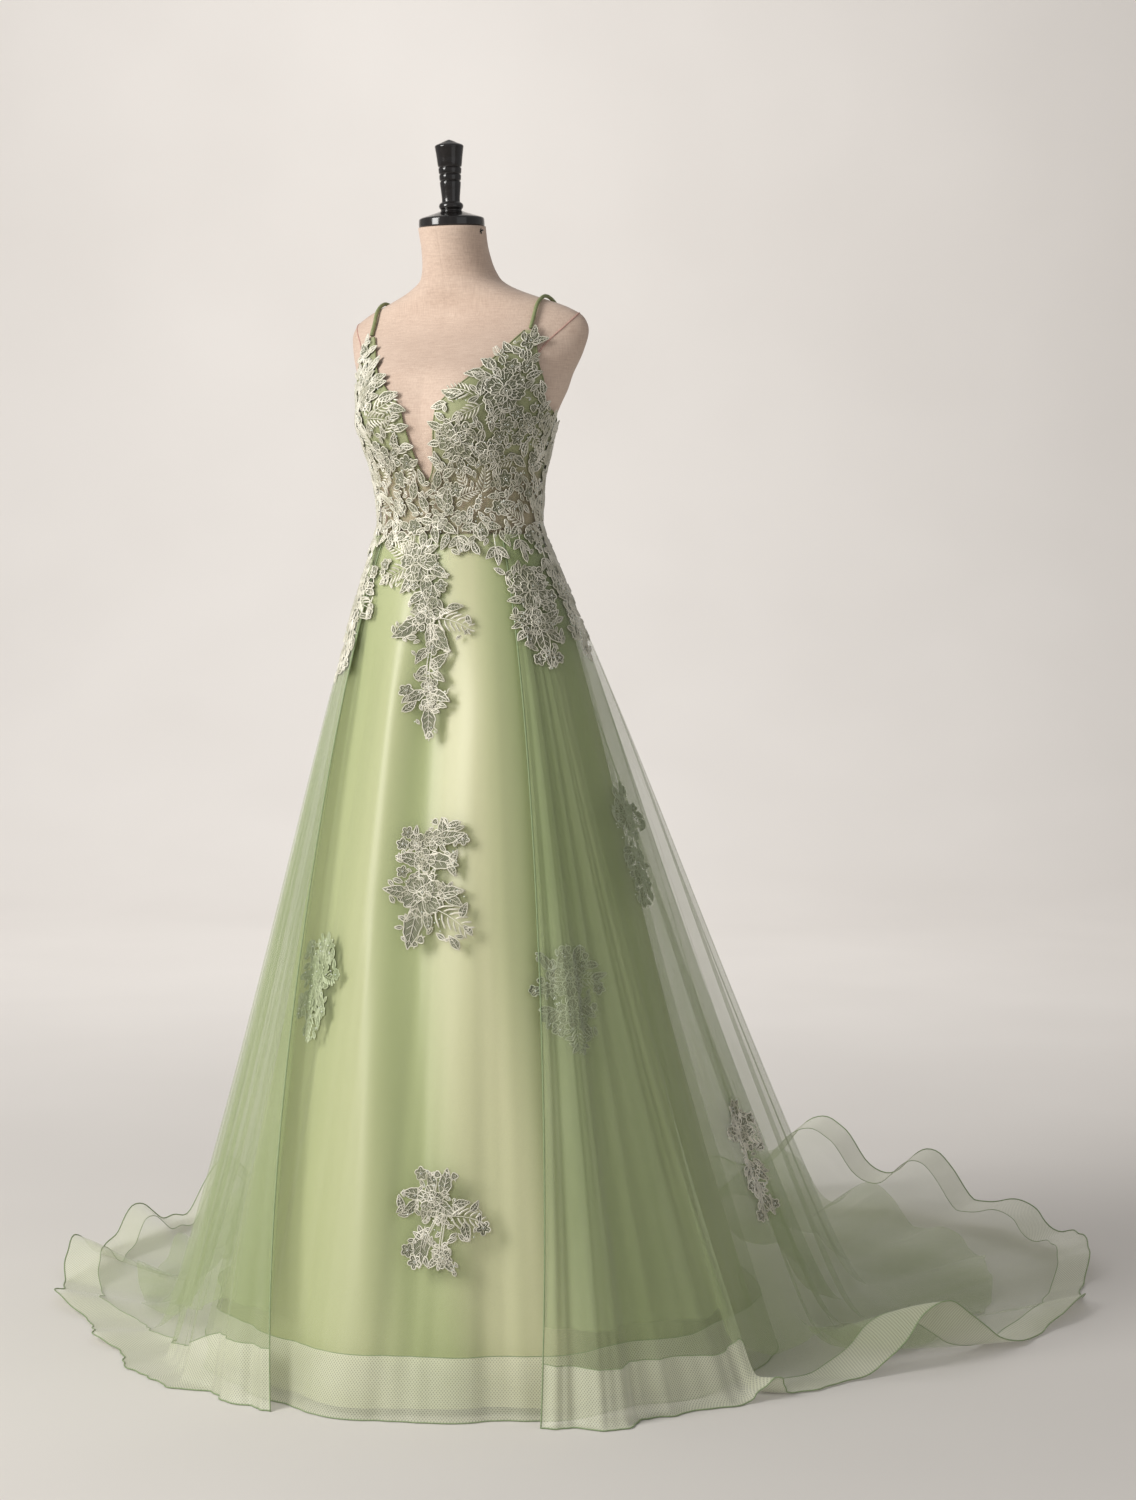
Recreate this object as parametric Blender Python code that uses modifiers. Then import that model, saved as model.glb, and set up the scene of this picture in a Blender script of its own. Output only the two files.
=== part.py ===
"""A-line formal dress on a dress form: one named solid for each piece that a maker would cut or turn.

Metres, +Z up. The dress faces -Y, +X is the wearer's left, and the origin is on the floor under the pole.
Angles are degrees round the body from the front (-Y) toward the wearer's left (+X).
"""

import math

import bmesh
import bpy
from mathutils import Vector, geometry
from mathutils.bvhtree import BVHTree

# Heights above the floor
NECK_TOP = 1.66
PEAK_Z = 1.505
UNDERARM_Z = 1.386
CENTRE_BACK_Z = 1.300
V_BOTTOM_Z = 1.288
WAIST_Z = 1.215
FORM_BOTTOM = 0.995
SATIN_HEM_Z = 0.012
FLOOR_GAP = 0.0008

# Walls and gaps
MESH_WALL = 0.002
SATIN_WALL = 0.002
TULLE_WALL = 0.0012
LACE_WALL = 0.0014
SEAM_GAP = 0.0003
FORM_GAP = 0.0020
LAYER_GAP = 0.0004
LACE_GAP = 0.0012
APPLIQUE_GAP = 0.0008
BRAID_WIDTH = 0.085

# Where each layer's inside lies off the form at the waist
SATIN_SEAT = FORM_GAP
TULLE_SEAT = SATIN_SEAT + SATIN_WALL + LAYER_GAP
OVERLAY_SEAT = TULLE_SEAT + TULLE_WALL + LAYER_GAP
TULLE_OUT = 0.018

# Stand
BASE_RADIUS = 0.17
BASE_HEIGHT = 0.022
POLE_RADIUS = 0.014
KNOB_TILT = 4.0

# Strap
STRAP_WIDTH = 0.007
STRAP_WALL = 0.0024
STRAP_X_FRONT = 0.128
STRAP_X_TOP = 0.131
STRAP_X_BACK = 0.088
STRAP_BACK_Z = 1.352
STRAP_GAP = 0.0032
STRAP_END_GAP = 0.0040

# Form sections: height, half width, front depth, back depth, centre's y, lean of the ring
FORM_ROWS = (
    (0.995, 0.150, 0.096, 0.112, 0.000, 0.0),
    (1.060, 0.153, 0.100, 0.114, 0.000, 0.0),
    (1.140, 0.141, 0.096, 0.102, 0.000, 0.0),
    (1.190, 0.128, 0.087, 0.089, 0.000, 0.0),
    (1.235, 0.122, 0.082, 0.081, 0.000, 0.0),
    (1.300, 0.127, 0.098, 0.077, 0.000, 0.0),
    (1.344, 0.137, 0.114, 0.081, 0.000, 0.0),
    (1.385, 0.148, 0.122, 0.088, 0.002, 0.0),
    (1.440, 0.153, 0.121, 0.094, 0.012, 0.0),
    (1.480, 0.166, 0.100, 0.090, 0.021, 0.0),
    (1.510, 0.172, 0.076, 0.080, 0.026, 0.0),
    (1.528, 0.166, 0.064, 0.070, 0.026, 0.0),
    (1.544, 0.145, 0.058, 0.062, 0.022, 0.0),
    (1.558, 0.114, 0.056, 0.057, 0.016, 0.0),
    (1.572, 0.083, 0.054, 0.053, 0.010, 0.01),
    (1.588, 0.060, 0.051, 0.051, 0.004, 0.02),
    (1.612, 0.0510, 0.0500, 0.0500, -0.006, 0.04),
    (1.636, 0.0485, 0.0485, 0.0485, -0.015, 0.06),
    (1.660, 0.0490, 0.0490, 0.0490, -0.0226, 0.07),
)
BUST_X = 0.078
BUST_Z = 1.385
BUST_OUT = 0.020
BUST_SPREAD_X = 0.052
BUST_SPREAD_Z = 0.058

# Shoulder ends: height, how far they stand out past the form's section
SHOULDER_ROWS = (
    (1.380, 0.000),
    (1.400, 0.006),
    (1.430, 0.016),
    (1.460, 0.019),
    (1.490, 0.0205),
    (1.520, 0.021),
    (1.540, 0.017),
    (1.560, 0.006),
    (1.575, 0.000),
)
SHOULDER_ANGLE = 96.0
SHOULDER_WIDTH = 44.0

# Neckline: height, distance of its edge from the centre front
NECK_ROWS = (
    (1.288, 0.0002),
    (1.310, 0.011),
    (1.365, 0.0235),
    (1.392, 0.030),
    (1.410, 0.046),
    (1.450, 0.085),
    (1.505, 0.122),
)

# Front panel's outer edge, side seam then armhole: height, angle round the body
ARMHOLE_ROWS = (
    (1.215, 91.0),
    (1.380, 91.0),
    (1.388, 89.0),
    (1.397, 80.0),
    (1.412, 73.5),
    (1.435, 70.0),
    (1.460, 62.5),
    (1.487, 55.5),
    (1.505, 52.0),
)

# Underskirts: angle, radius of the satin's hem
SKIRT_ROWS = (
    (-20.0, 0.339),
    (0.0, 0.338),
    (45.0, 0.346),
    (80.0, 0.385),
    (120.0, 0.452),
    (180.0, 0.486),
    (240.0, 0.452),
    (280.0, 0.385),
    (315.0, 0.346),
    (360.0, 0.338),
    (380.0, 0.339),
)

# Flutes of the satin: angle, width, how far out
FLUTE_ROWS = (
    (-2.0, 26.0, 0.013),
    (25.0, 26.0, 0.015),
    (49.0, 24.0, 0.012),
    (84.0, 34.0, 0.016),
    (124.0, 38.0, 0.018),
    (163.0, 36.0, 0.017),
    (201.0, 38.0, 0.019),
    (240.0, 36.0, 0.017),
    (276.0, 34.0, 0.015),
    (309.0, 30.0, 0.014),
    (334.0, 22.0, 0.009),
)
HIP_FULLNESS = 0.40

# Overlay: hem's angle, angle at the waist, radius where the hanging cone meets the floor, hem's radius
OVERLAY_ROWS = (
    (43.0, 50.0, 0.392, 0.394),
    (57.0, 55.0, 0.420, 0.430),
    (69.0, 60.0, 0.428, 0.440),
    (80.0, 64.0, 0.436, 0.456),
    (92.0, 74.0, 0.452, 0.505),
    (103.0, 92.0, 0.492, 0.615),
    (112.0, 105.0, 0.528, 0.745),
    (120.0, 115.0, 0.556, 0.870),
    (135.0, 130.0, 0.610, 1.060),
    (150.0, 146.0, 0.690, 1.210),
    (165.0, 160.0, 0.780, 1.230),
    (180.0, 180.0, 0.830, 1.200),
    (200.0, 204.0, 0.810, 1.190),
    (215.0, 220.0, 0.770, 1.150),
    (230.0, 236.0, 0.715, 1.080),
    (245.0, 250.0, 0.625, 0.940),
    (259.0, 262.0, 0.535, 0.825),
    (271.0, 272.0, 0.480, 0.705),
    (282.0, 280.0, 0.452, 0.585),
    (298.0, 291.0, 0.424, 0.500),
    (315.0, 301.0, 0.412, 0.455),
    (326.0, 307.0, 0.400, 0.404),
    (344.6, 315.0, 0.388, 0.390),
)

# Overlay folds: hem's angle, width, how far out, how far the pleat leans, how far the hem lifts
FOLD_ROWS = (
    (55.0, 14.0, 0.016, 0.0, 0.0),
    (65.0, 12.0, -0.008, 0.0, 0.0),
    (88.0, 34.0, 0.030, 0.030, 0.0),
    (86.0, 16.0, 0.0, 0.0, 0.030),
    (110.0, 16.0, 0.0, 0.0, 0.090),
    (127.0, 13.0, 0.010, 0.0, 0.022),
    (142.0, 12.0, 0.012, 0.0, 0.045),
    (152.5, 10.0, 0.0, 0.0, 0.055),
    (163.0, 10.0, 0.0, 0.0, 0.115),
    (174.0, 12.0, 0.015, 0.0, 0.150),
    (188.0, 13.0, 0.010, 0.0, 0.070),
    (203.0, 14.0, 0.012, 0.0, 0.060),
    (218.0, 13.0, 0.010, 0.0, 0.075),
    (231.0, 12.0, 0.012, 0.0, 0.090),
    (244.0, 12.0, 0.010, 0.0, 0.055),
    (257.0, 12.0, 0.012, 0.0, 0.050),
    (272.0, 14.0, 0.016, 0.0, 0.018),
    (289.0, 15.0, 0.018, 0.0, 0.010),
    (305.0, 13.0, 0.014, 0.0, 0.0),
    (320.0, 12.0, 0.012, 0.0, 0.0),
    (334.0, 12.0, 0.010, 0.0, 0.0),
)
PLEAT_OUT = 0.60
PLEAT_RISE = 2
FOLD_START = 0.06
TURN_LATE = 1.25
FLOOR_BEND = 0.040

# Overlay panels: name, hem's angle at each side seam, columns of facets
OVERLAY_PANELS = (
    ("overlay_left", 43.0, 131.0, 36),
    ("overlay_train", 131.0, 238.0, 30),
    ("overlay_right", 238.0, 344.6, 22),
)
OVERLAY_PANEL_ROWS = 8
BRAID_ROWS = 2
OVERLAY_SEAM_TURN = 0.10
SKIRT_COLUMNS = 24
SATIN_SKIRT_ROWS = 5
TULLE_SKIRT_ROWS = 5

# Lace motifs: points in the outline, width over length, depth of its notches
MOTIFS = {
    "rose": (15, 1.0, 0.14),
    "leaf": (8, 0.42, 0.0),
    "fern": (14, 0.52, 0.45),
    "stem": (6, 0.13, 0.0),
    "window": (6, 0.50, 0.0),
}
ROSE_PETALS = 5

# Appliques: motif, distance round the skirt from the applique's middle, height, size, heading from up
CASCADE = (
    ("rose", -0.023, 1.174, 0.029, 0),
    ("fern", -0.060, 1.190, 0.022, -65),
    ("fern", -0.060, 1.160, 0.024, -115),
    ("leaf", -0.038, 1.143, 0.016, -150),
    ("leaf", 0.013, 1.158, 0.016, 115),
    ("leaf", -0.006, 1.136, 0.020, 170),
    ("rose", 0.000, 1.104, 0.022, 30),
    ("leaf", -0.031, 1.080, 0.024, -125),
    ("fern", 0.036, 1.086, 0.028, 108),
    ("leaf", 0.024, 1.066, 0.024, 145),
    ("stem", 0.008, 1.046, 0.048, 178),
    ("leaf", 0.022, 1.034, 0.017, 50),
    ("rose", 0.010, 0.998, 0.014, 10),
    ("leaf", -0.010, 0.982, 0.016, -120),
    ("leaf", 0.026, 0.982, 0.017, 110),
    ("rose", 0.012, 0.974, 0.014, 40),
    ("leaf", 0.010, 0.945, 0.023, 178),
)
HIP_LEFT = (
    ("rose", 0.000, 1.138, 0.028, 0),
    ("stem", 0.002, 1.112, 0.018, 180),
    ("rose", 0.000, 1.090, 0.019, 30),
    ("leaf", -0.022, 1.092, 0.017, -80),
    ("leaf", 0.024, 1.098, 0.016, 60),
    ("leaf", 0.004, 1.060, 0.021, 175),
    ("leaf", 0.022, 1.068, 0.016, 125),
    ("leaf", -0.014, 1.064, 0.016, 205),
    ("leaf", 0.006, 1.037, 0.014, 180),
)
HIP_RIGHT = (
    ("leaf", -0.004, 1.170, 0.014, -10),
    ("rose", 0.000, 1.146, 0.024, 0),
    ("stem", -0.002, 1.122, 0.018, 180),
    ("fern", 0.020, 1.112, 0.020, 130),
    ("rose", -0.004, 1.100, 0.020, 30),
    ("leaf", -0.026, 1.108, 0.016, -75),
    ("leaf", 0.008, 1.068, 0.020, 170),
    ("leaf", -0.014, 1.074, 0.018, 210),
    ("rose", 0.004, 1.040, 0.015, 10),
    ("leaf", -0.002, 1.018, 0.014, 190),
)
MID_FRONT = (
    ("leaf", 0.015, 0.798, 0.017, 0),
    ("leaf", 0.028, 0.790, 0.020, 80),
    ("rose", 0.004, 0.782, 0.016, 0),
    ("rose", -0.020, 0.777, 0.015, 30),
    ("rose", -0.009, 0.754, 0.018, 10),
    ("leaf", 0.018, 0.751, 0.024, 97),
    ("leaf", 0.034, 0.761, 0.010, 25),
    ("leaf", -0.032, 0.753, 0.020, -75),
    ("stem", -0.016, 0.736, 0.016, 170),
    ("rose", -0.009, 0.706, 0.030, 20),
    ("leaf", 0.032, 0.710, 0.019, 78),
    ("leaf", 0.036, 0.698, 0.015, 118),
    ("leaf", -0.048, 0.710, 0.018, -80),
    ("fern", 0.030, 0.672, 0.032, 122),
    ("leaf", -0.022, 0.658, 0.030, 192),
    ("leaf", 0.000, 0.668, 0.015, 170),
)
LOWER_FRONT = (
    ("leaf", 0.006, 0.318, 0.019, 10),
    ("leaf", -0.014, 0.318, 0.015, -20),
    ("rose", -0.013, 0.293, 0.020, 0),
    ("leaf", -0.040, 0.297, 0.018, -80),
    ("leaf", -0.044, 0.281, 0.016, -130),
    ("leaf", 0.008, 0.283, 0.018, 125),
    ("fern", 0.034, 0.267, 0.026, 100),
    ("leaf", 0.038, 0.252, 0.014, 165),
    ("stem", 0.004, 0.250, 0.030, 180),
    ("stem", -0.012, 0.254, 0.026, 200),
    ("leaf", -0.024, 0.227, 0.027, 188),
    ("rose", 0.005, 0.217, 0.014, 10),
    ("leaf", 0.015, 0.206, 0.012, 140),
)

# Appliques on the skirts: name, middle's angle, motifs
APPLIQUES = (
    ("lace_centre_cascade", 4.0, CASCADE),
    ("lace_hip_left", 70.0, HIP_LEFT),
    ("lace_hip_right", -62.0, HIP_RIGHT),
    ("lace_mid_front", 13.9, MID_FRONT),
    ("lace_lower_front", 21.5, LOWER_FRONT),
)

# Windows in each bodice lace: distance round from the centre front, height, half length, heading
BODICE_WINDOWS = (
    (0.045, 1.238, 0.010, 60),
    (0.118, 1.233, 0.009, 20),
    (0.180, 1.240, 0.010, -50),
    (0.024, 1.266, 0.009, 10),
    (0.140, 1.268, 0.010, 30),
    (0.048, 1.300, 0.010, 20),
    (0.110, 1.306, 0.011, -60),
    (0.178, 1.300, 0.011, 15),
    (0.066, 1.342, 0.010, 0),
    (0.142, 1.345, 0.011, 40),
    (0.098, 1.378, 0.010, -25),
    (0.165, 1.377, 0.010, 70),
    (0.082, 1.418, 0.009, 60),
    (0.128, 1.420, 0.010, -15),
    (0.108, 1.460, 0.009, 10),
)
BACK_WINDOWS = (
    (0.250, 1.330, 0.011, 20),
    (0.308, 1.290, 0.011, 60),
    (0.390, 1.266, 0.009, 35),
)

# Lower leafy edge of the bodice lace, from the centre front to the side seam: distance round, height
FRINGE_LEFT = (
    (0.018, 1.2175),
    (0.034, 1.210),
    (0.046, 1.190),
    (0.056, 1.208),
    (0.070, 1.202),
    (0.084, 1.212),
    (0.096, 1.188),
    (0.103, 1.170),
    (0.112, 1.190),
    (0.126, 1.208),
    (0.140, 1.200),
    (0.148, 1.183),
    (0.158, 1.203),
    (0.176, 1.196),
    (0.190, 1.172),
    (0.197, 1.150),
    (0.205, 1.176),
    (0.2130, 1.200),
)
FRINGE_RIGHT = (
    (0.020, 1.2175),
    (0.060, 1.2170),
    (0.100, 1.2170),
    (0.112, 1.210),
    (0.122, 1.192),
    (0.132, 1.210),
    (0.148, 1.203),
    (0.158, 1.190),
    (0.168, 1.206),
    (0.186, 1.198),
    (0.196, 1.182),
    (0.204, 1.200),
    (0.2130, 1.205),
)
FRINGE_BACK = (
    (0.2155, 1.205),
    (0.228, 1.192),
    (0.238, 1.170),
    (0.250, 1.198),
    (0.272, 1.206),
    (0.286, 1.184),
    (0.300, 1.206),
    (0.322, 1.200),
    (0.336, 1.172),
    (0.350, 1.202),
    (0.376, 1.206),
    (0.392, 1.186),
    (0.410, 1.206),
)
LACE_ROUND = 0.135
LEAF_TIP = 0.0045
NECK_TEETH = 7
ARM_TEETH = 5
BACK_TEETH = 6
BODICE_GRID = 0.016
SKIRT_GRID = 0.022
LACE_STEP = 0.014

COLOURS = {
    "linen": ((0.68, 0.55, 0.45), 0.85),
    "black": ((0.010, 0.010, 0.011), 0.18),
    "metal": ((0.05, 0.05, 0.05), 0.35),
    "mesh": ((0.36, 0.40, 0.24), 0.75),
    "olive": ((0.20, 0.27, 0.11), 0.55),
    "satin": ((0.55, 0.58, 0.34), 0.35),
    "tulle": ((0.44, 0.55, 0.34), 0.80),
    "braid": ((0.50, 0.56, 0.38), 0.60),
    "lace": ((0.50, 0.54, 0.40), 0.65),
}


class Curve:
    """Smooth values between the rows of a table, with no overshoot."""

    def __init__(self, rows):
        self.keys = [row[0] for row in rows]
        self.columns = []
        for column in list(zip(*rows))[1:]:
            steps = [
                (column[i + 1] - column[i]) / (self.keys[i + 1] - self.keys[i])
                for i in range(len(column) - 1)
            ]
            inner = [0.0 if a * b <= 0 else 2 * a * b / (a + b) for a, b in zip(steps, steps[1:])]
            self.columns.append((column, [steps[0]] + inner + [steps[-1]]))

    def __call__(self, key):
        key = min(max(key, self.keys[0]), self.keys[-1])
        i = 0
        while i < len(self.keys) - 2 and key > self.keys[i + 1]:
            i += 1
        span = self.keys[i + 1] - self.keys[i]
        t = (key - self.keys[i]) / span
        found = []
        for values, slopes in self.columns:
            found.append(
                values[i] * (1 + 2 * t) * (1 - t) ** 2
                + slopes[i] * span * t * (1 - t) ** 2
                + values[i + 1] * t * t * (3 - 2 * t)
                - slopes[i + 1] * span * t * t * (1 - t)
            )
        return found


FORM = Curve(FORM_ROWS)
SHOULDER = Curve(SHOULDER_ROWS)
NECK = Curve(NECK_ROWS)
ARMHOLE = Curve(ARMHOLE_ROWS)
SKIRT = Curve(SKIRT_ROWS)
OVERLAY = Curve(OVERLAY_ROWS)


def heading(point):
    """Angle of a point round the body, in degrees from the front, 0 to 360."""
    return math.degrees(math.atan2(point.x, -point.y)) % 360.0


def polar(angle, radius, z):
    turn = math.radians(angle)
    return Vector((radius * math.sin(turn), -radius * math.cos(turn), z))


def bump(angle, centre, width):
    """1 at the centre, 0 at half a width away, round the circle."""
    away = abs((angle - centre + 180.0) % 360.0 - 180.0) / width
    return math.cos(math.pi * away) ** 2 if away < 0.5 else 0.0


def normal_of(surface, a, b, step_a=0.5, step_b=0.002):
    """Outward normal where the first coordinate runs round the body and the second runs up."""
    across = surface(a + step_a, b) - surface(a - step_a, b)
    along = surface(a, b + step_b) - surface(a, b - step_b)
    return across.cross(along).normalized()


# Dress form


def form_point(angle, z):
    half, front, back, centre, lean = FORM(z)
    turn = math.radians(angle)
    x = half * math.sin(turn)
    cosine = math.cos(turn)
    y = centre - (front if cosine > 0 else back) * cosine
    if cosine > 0:
        beside = (abs(x) - BUST_X) / BUST_SPREAD_X
        above = (z - BUST_Z) / BUST_SPREAD_Z
        y -= BUST_OUT * math.exp(-beside * beside - above * above) * min(1.0, 2 * cosine)
    away = abs(abs((angle + 180.0) % 360.0 - 180.0) - SHOULDER_ANGLE) / SHOULDER_WIDTH
    if away < 1.0:
        x += math.copysign(SHOULDER(z)[0] * (1 - away) ** 2 * (1 + 2 * away), x)
    return Vector((x, y, z + (y - centre) * lean))


def off_form(angle, z, gap):
    return form_point(angle, z) + normal_of(form_point, angle, z) * gap


# Meshes


def material(slot):
    colour, roughness = COLOURS[slot]
    made = bpy.data.materials.get(slot) or bpy.data.materials.new(slot)
    made.use_nodes = True
    shader = made.node_tree.nodes["Principled BSDF"]
    shader.inputs["Base Color"].default_value = (*colour, 1.0)
    shader.inputs["Roughness"].default_value = roughness
    return made


def add_object(name, slot, mesh, smooth=True):
    body = bpy.data.objects.new(name, mesh)
    body.data.materials.append(material(slot).copy())
    for face in body.data.polygons:
        face.use_smooth = smooth
    PARTS.objects.link(body)
    return body


def grid_mesh(name, rows, closed=False):
    """A mesh through rows of points. The first row is the lowest and points run round toward +X."""
    mesh = bpy.data.meshes.new(name)
    count = len(rows[0])
    faces = []
    for r in range(len(rows) - 1):
        for c in range(count if closed else count - 1):
            d = (c + 1) % count
            faces.append((r * count + c, r * count + d, (r + 1) * count + d, (r + 1) * count + c))
    mesh.from_pydata([tuple(p) for row in rows for p in row], [], faces)
    return mesh


def wall(name, slot, rows, normals, thickness):
    """A cloth piece: rows of points on its inside, lofted to the same points moved out, closed at its edges."""
    count = len(rows[0])
    last = len(rows) - 1
    inside = [p for row in rows for p in row]
    outside = [p + n * thickness for row, line in zip(rows, normals) for p, n in zip(row, line)]
    shift = len(inside)
    faces = []
    for r in range(last):
        for c in range(count - 1):
            a = r * count + c
            b = a + count
            faces += [(a, b + 1, a + 1), (a, b, b + 1)]
            faces += [(a + shift, a + 1 + shift, b + 1 + shift), (a + shift, b + 1 + shift, b + shift)]
    edge = [(0, c) for c in range(count)] + [(r, count - 1) for r in range(1, last + 1)]
    edge += [(last, c) for c in range(count - 2, -1, -1)] + [(r, 0) for r in range(last - 1, 0, -1)]
    ring = [r * count + c for r, c in edge]
    for a, b in zip(ring, ring[1:] + ring[:1]):
        if a < b:
            faces += [(a, b, b + shift), (a, b + shift, a + shift)]
        else:
            faces += [(a, b, a + shift), (b, b + shift, a + shift)]
    mesh = bpy.data.meshes.new(name)
    mesh.from_pydata([tuple(p) for p in inside + outside], [], faces)
    return add_object(name, slot, mesh)


def grid_normals(rows):
    """Outward normals of rows of points that run round toward +X, the first row lowest."""
    found = []
    for r, row in enumerate(rows):
        below = rows[max(r - 1, 0)]
        above = rows[min(r + 1, len(rows) - 1)]
        line = []
        for c in range(len(row)):
            across = row[min(c + 1, len(row) - 1)] - row[max(c - 1, 0)]
            line.append(across.cross(above[c] - below[c]).normalized())
        found.append(line)
    return found


def turned(name, slot, profile, steps):
    """A round piece from a profile of radii and heights that runs from top to bottom."""
    mesh = bpy.data.meshes.new(name)
    edges = [(i, i + 1) for i in range(len(profile) - 1)]
    mesh.from_pydata([(radius, 0.0, z) for radius, z in profile], edges, [])
    body = add_object(name, slot, mesh)
    screw = body.modifiers.new("turn", "SCREW")
    screw.steps = steps
    screw.render_steps = steps
    screw.use_merge_vertices = True
    screw.merge_threshold = 0.00001
    screw.use_smooth_shade = True
    return body


# Stand and form


def build_form():
    heights = [FORM_BOTTOM, 1.07, 1.15, WAIST_Z, 1.245, 1.28, 1.31, 1.335, 1.36, 1.385, 1.41, 1.435]
    heights += [1.46, 1.485, 1.505, 1.522, 1.536, 1.55, 1.568, 1.588, 1.622, NECK_TOP]
    segments = 40
    rows = [[form_point(360.0 * s / segments, z) for s in range(segments)] for z in heights]
    mesh = grid_mesh("form_body", rows, closed=True)
    shape = bmesh.new()
    shape.from_mesh(mesh)
    bmesh.ops.holes_fill(shape, edges=[e for e in shape.edges if e.is_boundary], sides=segments)
    bmesh.ops.recalc_face_normals(shape, faces=shape.faces)
    shape.to_mesh(mesh)
    shape.free()
    return add_object("form_body", "linen", mesh)


def build_knob():
    """Turned cap on the neck and the knob above it, one turned piece."""
    profile = (
        (0.0, 0.129),
        (0.011, 0.1270),
        (0.0195, 0.1205),
        (0.0222, 0.1130),
        (0.0204, 0.0905),
        (0.0186, 0.0890),
        (0.0200, 0.0870),
        (0.0197, 0.0820),
        (0.0180, 0.0805),
        (0.0193, 0.0785),
        (0.0189, 0.0735),
        (0.0172, 0.0720),
        (0.0184, 0.0700),
        (0.0166, 0.0480),
        (0.0152, 0.0390),
        (0.0160, 0.0365),
        (0.0190, 0.0345),
        (0.0190, 0.0260),
        (0.0210, 0.0235),
        (0.0460, 0.0125),
        (0.0482, 0.0105),
        (0.0484, 0.0),
        (0.0, 0.0),
    )
    knob = turned("neck_cap_knob", "black", profile, 16)
    centre = FORM(NECK_TOP)[3]
    knob.location = (0.0, centre, NECK_TOP + SEAM_GAP)
    knob.rotation_euler = (math.radians(KNOB_TILT), 0.0, 0.0)
    return knob


def build_stand():
    """Round foot and pole, one turned piece."""
    top = FORM_BOTTOM - SEAM_GAP
    profile = (
        (0.0, top),
        (POLE_RADIUS, top),
        (POLE_RADIUS, BASE_HEIGHT + 0.050),
        (0.020, BASE_HEIGHT + 0.048),
        (0.026, BASE_HEIGHT + 0.006),
        (BASE_RADIUS - 0.012, BASE_HEIGHT),
        (BASE_RADIUS - 0.002, BASE_HEIGHT - 0.005),
        (BASE_RADIUS, BASE_HEIGHT - 0.010),
        (BASE_RADIUS, 0.002),
        (BASE_RADIUS - 0.002, 0.0),
        (0.0, 0.0),
    )
    return turned("stand", "metal", profile, 24)


# Bodice


def front_edge_angle(z):
    """Where the front panel begins: the centre front seam, then the neckline."""
    half = FORM(z)[0]
    edge = NECK(z)[0] if z > V_BOTTOM_Z else 0.0
    return math.degrees(math.asin(min(1.0, max(edge, SEAM_GAP / 2) / half)))


def form_wall(name, slot, places, thickness):
    """A piece that follows the form, from rows of angles and heights."""
    rows = [[off_form(angle, z, FORM_GAP) for angle, z in row] for row in places]
    normals = [[normal_of(form_point, angle, z) for angle, z in row] for row in places]
    return wall(name, slot, rows, normals, thickness)


def build_front(side):
    """One front of the bodice. side is 1 for the wearer's left, -1 for the right."""
    heights = [WAIST_Z + SEAM_GAP, 1.238, 1.262, V_BOTTOM_Z, 1.310, 1.332, 1.352, 1.370, 1.380]
    heights += [1.388, 1.397, 1.410, 1.428, 1.448, 1.468, 1.487, PEAK_Z]
    columns = 8
    places = []
    for z in heights:
        start = front_edge_angle(z)
        step = (ARMHOLE(z)[0] - start) / columns
        places.append([(side * (start + step * c), z) for c in range(columns + 1)][::side])
    name = "bodice_front_left" if side > 0 else "bodice_front_right"
    return form_wall(name, "mesh", places, MESH_WALL)


def back_top(angle):
    """Height of the low back's edge, from the underarm down to the centre back."""
    t = min(1.0, max(0.0, (angle - 91.0) / 89.0))
    return UNDERARM_Z - (UNDERARM_Z - CENTRE_BACK_Z) * math.sin(math.pi / 2 * t) ** 1.6


def build_back():
    """The low back of the bodice, one panel between the side seams."""
    start = 91.0 + 0.14
    columns = 18
    levels = 5
    low = WAIST_Z + SEAM_GAP
    places = []
    for level in range(levels + 1):
        row = []
        for c in range(columns + 1):
            angle = start + (360.0 - 2 * start) * c / columns
            top = back_top(min(angle, 360.0 - angle))
            row.append((angle, low + (top - low) * level / levels))
        places.append(row)
    return form_wall("bodice_back", "mesh", places, MESH_WALL)


def build_strap(side, form):
    """Rouleau strap from the bodice's peak over the shoulder to the back panel's edge."""
    tree = BVHTree.FromPolygons([v.co for v in form.data.vertices], [p.vertices for p in form.data.polygons])
    centre_y = 0.020
    centre_z = 1.440
    front = form_point(math.degrees(math.asin(STRAP_X_FRONT / FORM(PEAK_Z)[0])), PEAK_Z)
    back_half = FORM(STRAP_BACK_Z)[0]
    back = form_point(180.0 - math.degrees(math.asin(STRAP_X_BACK / back_half)), STRAP_BACK_Z)
    turn_front = math.atan2(front.z + STRAP_END_GAP - centre_z, centre_y - front.y)
    turn_back = math.pi + math.atan2(centre_z - back.z, back.y - centre_y)
    steps = 18
    route = Curve(((0.0, STRAP_X_FRONT), (0.35, STRAP_X_TOP), (1.0, STRAP_X_BACK)))
    points = []
    for s in range(steps + 1):
        t = s / steps
        turn = turn_front + (turn_back - turn_front) * t
        x = side * route(t)[0]
        away = Vector((0.0, -math.cos(turn), math.sin(turn)))
        start = Vector((x, centre_y, centre_z)) + away * 0.4
        hit, normal, _, _ = tree.ray_cast(start, -away)
        points.append((hit, normal if normal.dot(away) > 0 else -normal))
    left = []
    right = []
    normals = []
    for s, (hit, normal) in enumerate(points):
        ahead = points[min(s + 1, steps)][0] - points[max(s - 1, 0)][0]
        across = normal.cross(ahead).normalized() * (STRAP_WIDTH / 2)
        seat = hit + normal * STRAP_GAP
        left.append(seat + across)
        right.append(seat - across)
        normals.append(normal)
    name = "strap_left" if side > 0 else "strap_right"
    return wall(name, "olive", [right, left], [normals, normals], STRAP_WALL)


# Underskirts


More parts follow.
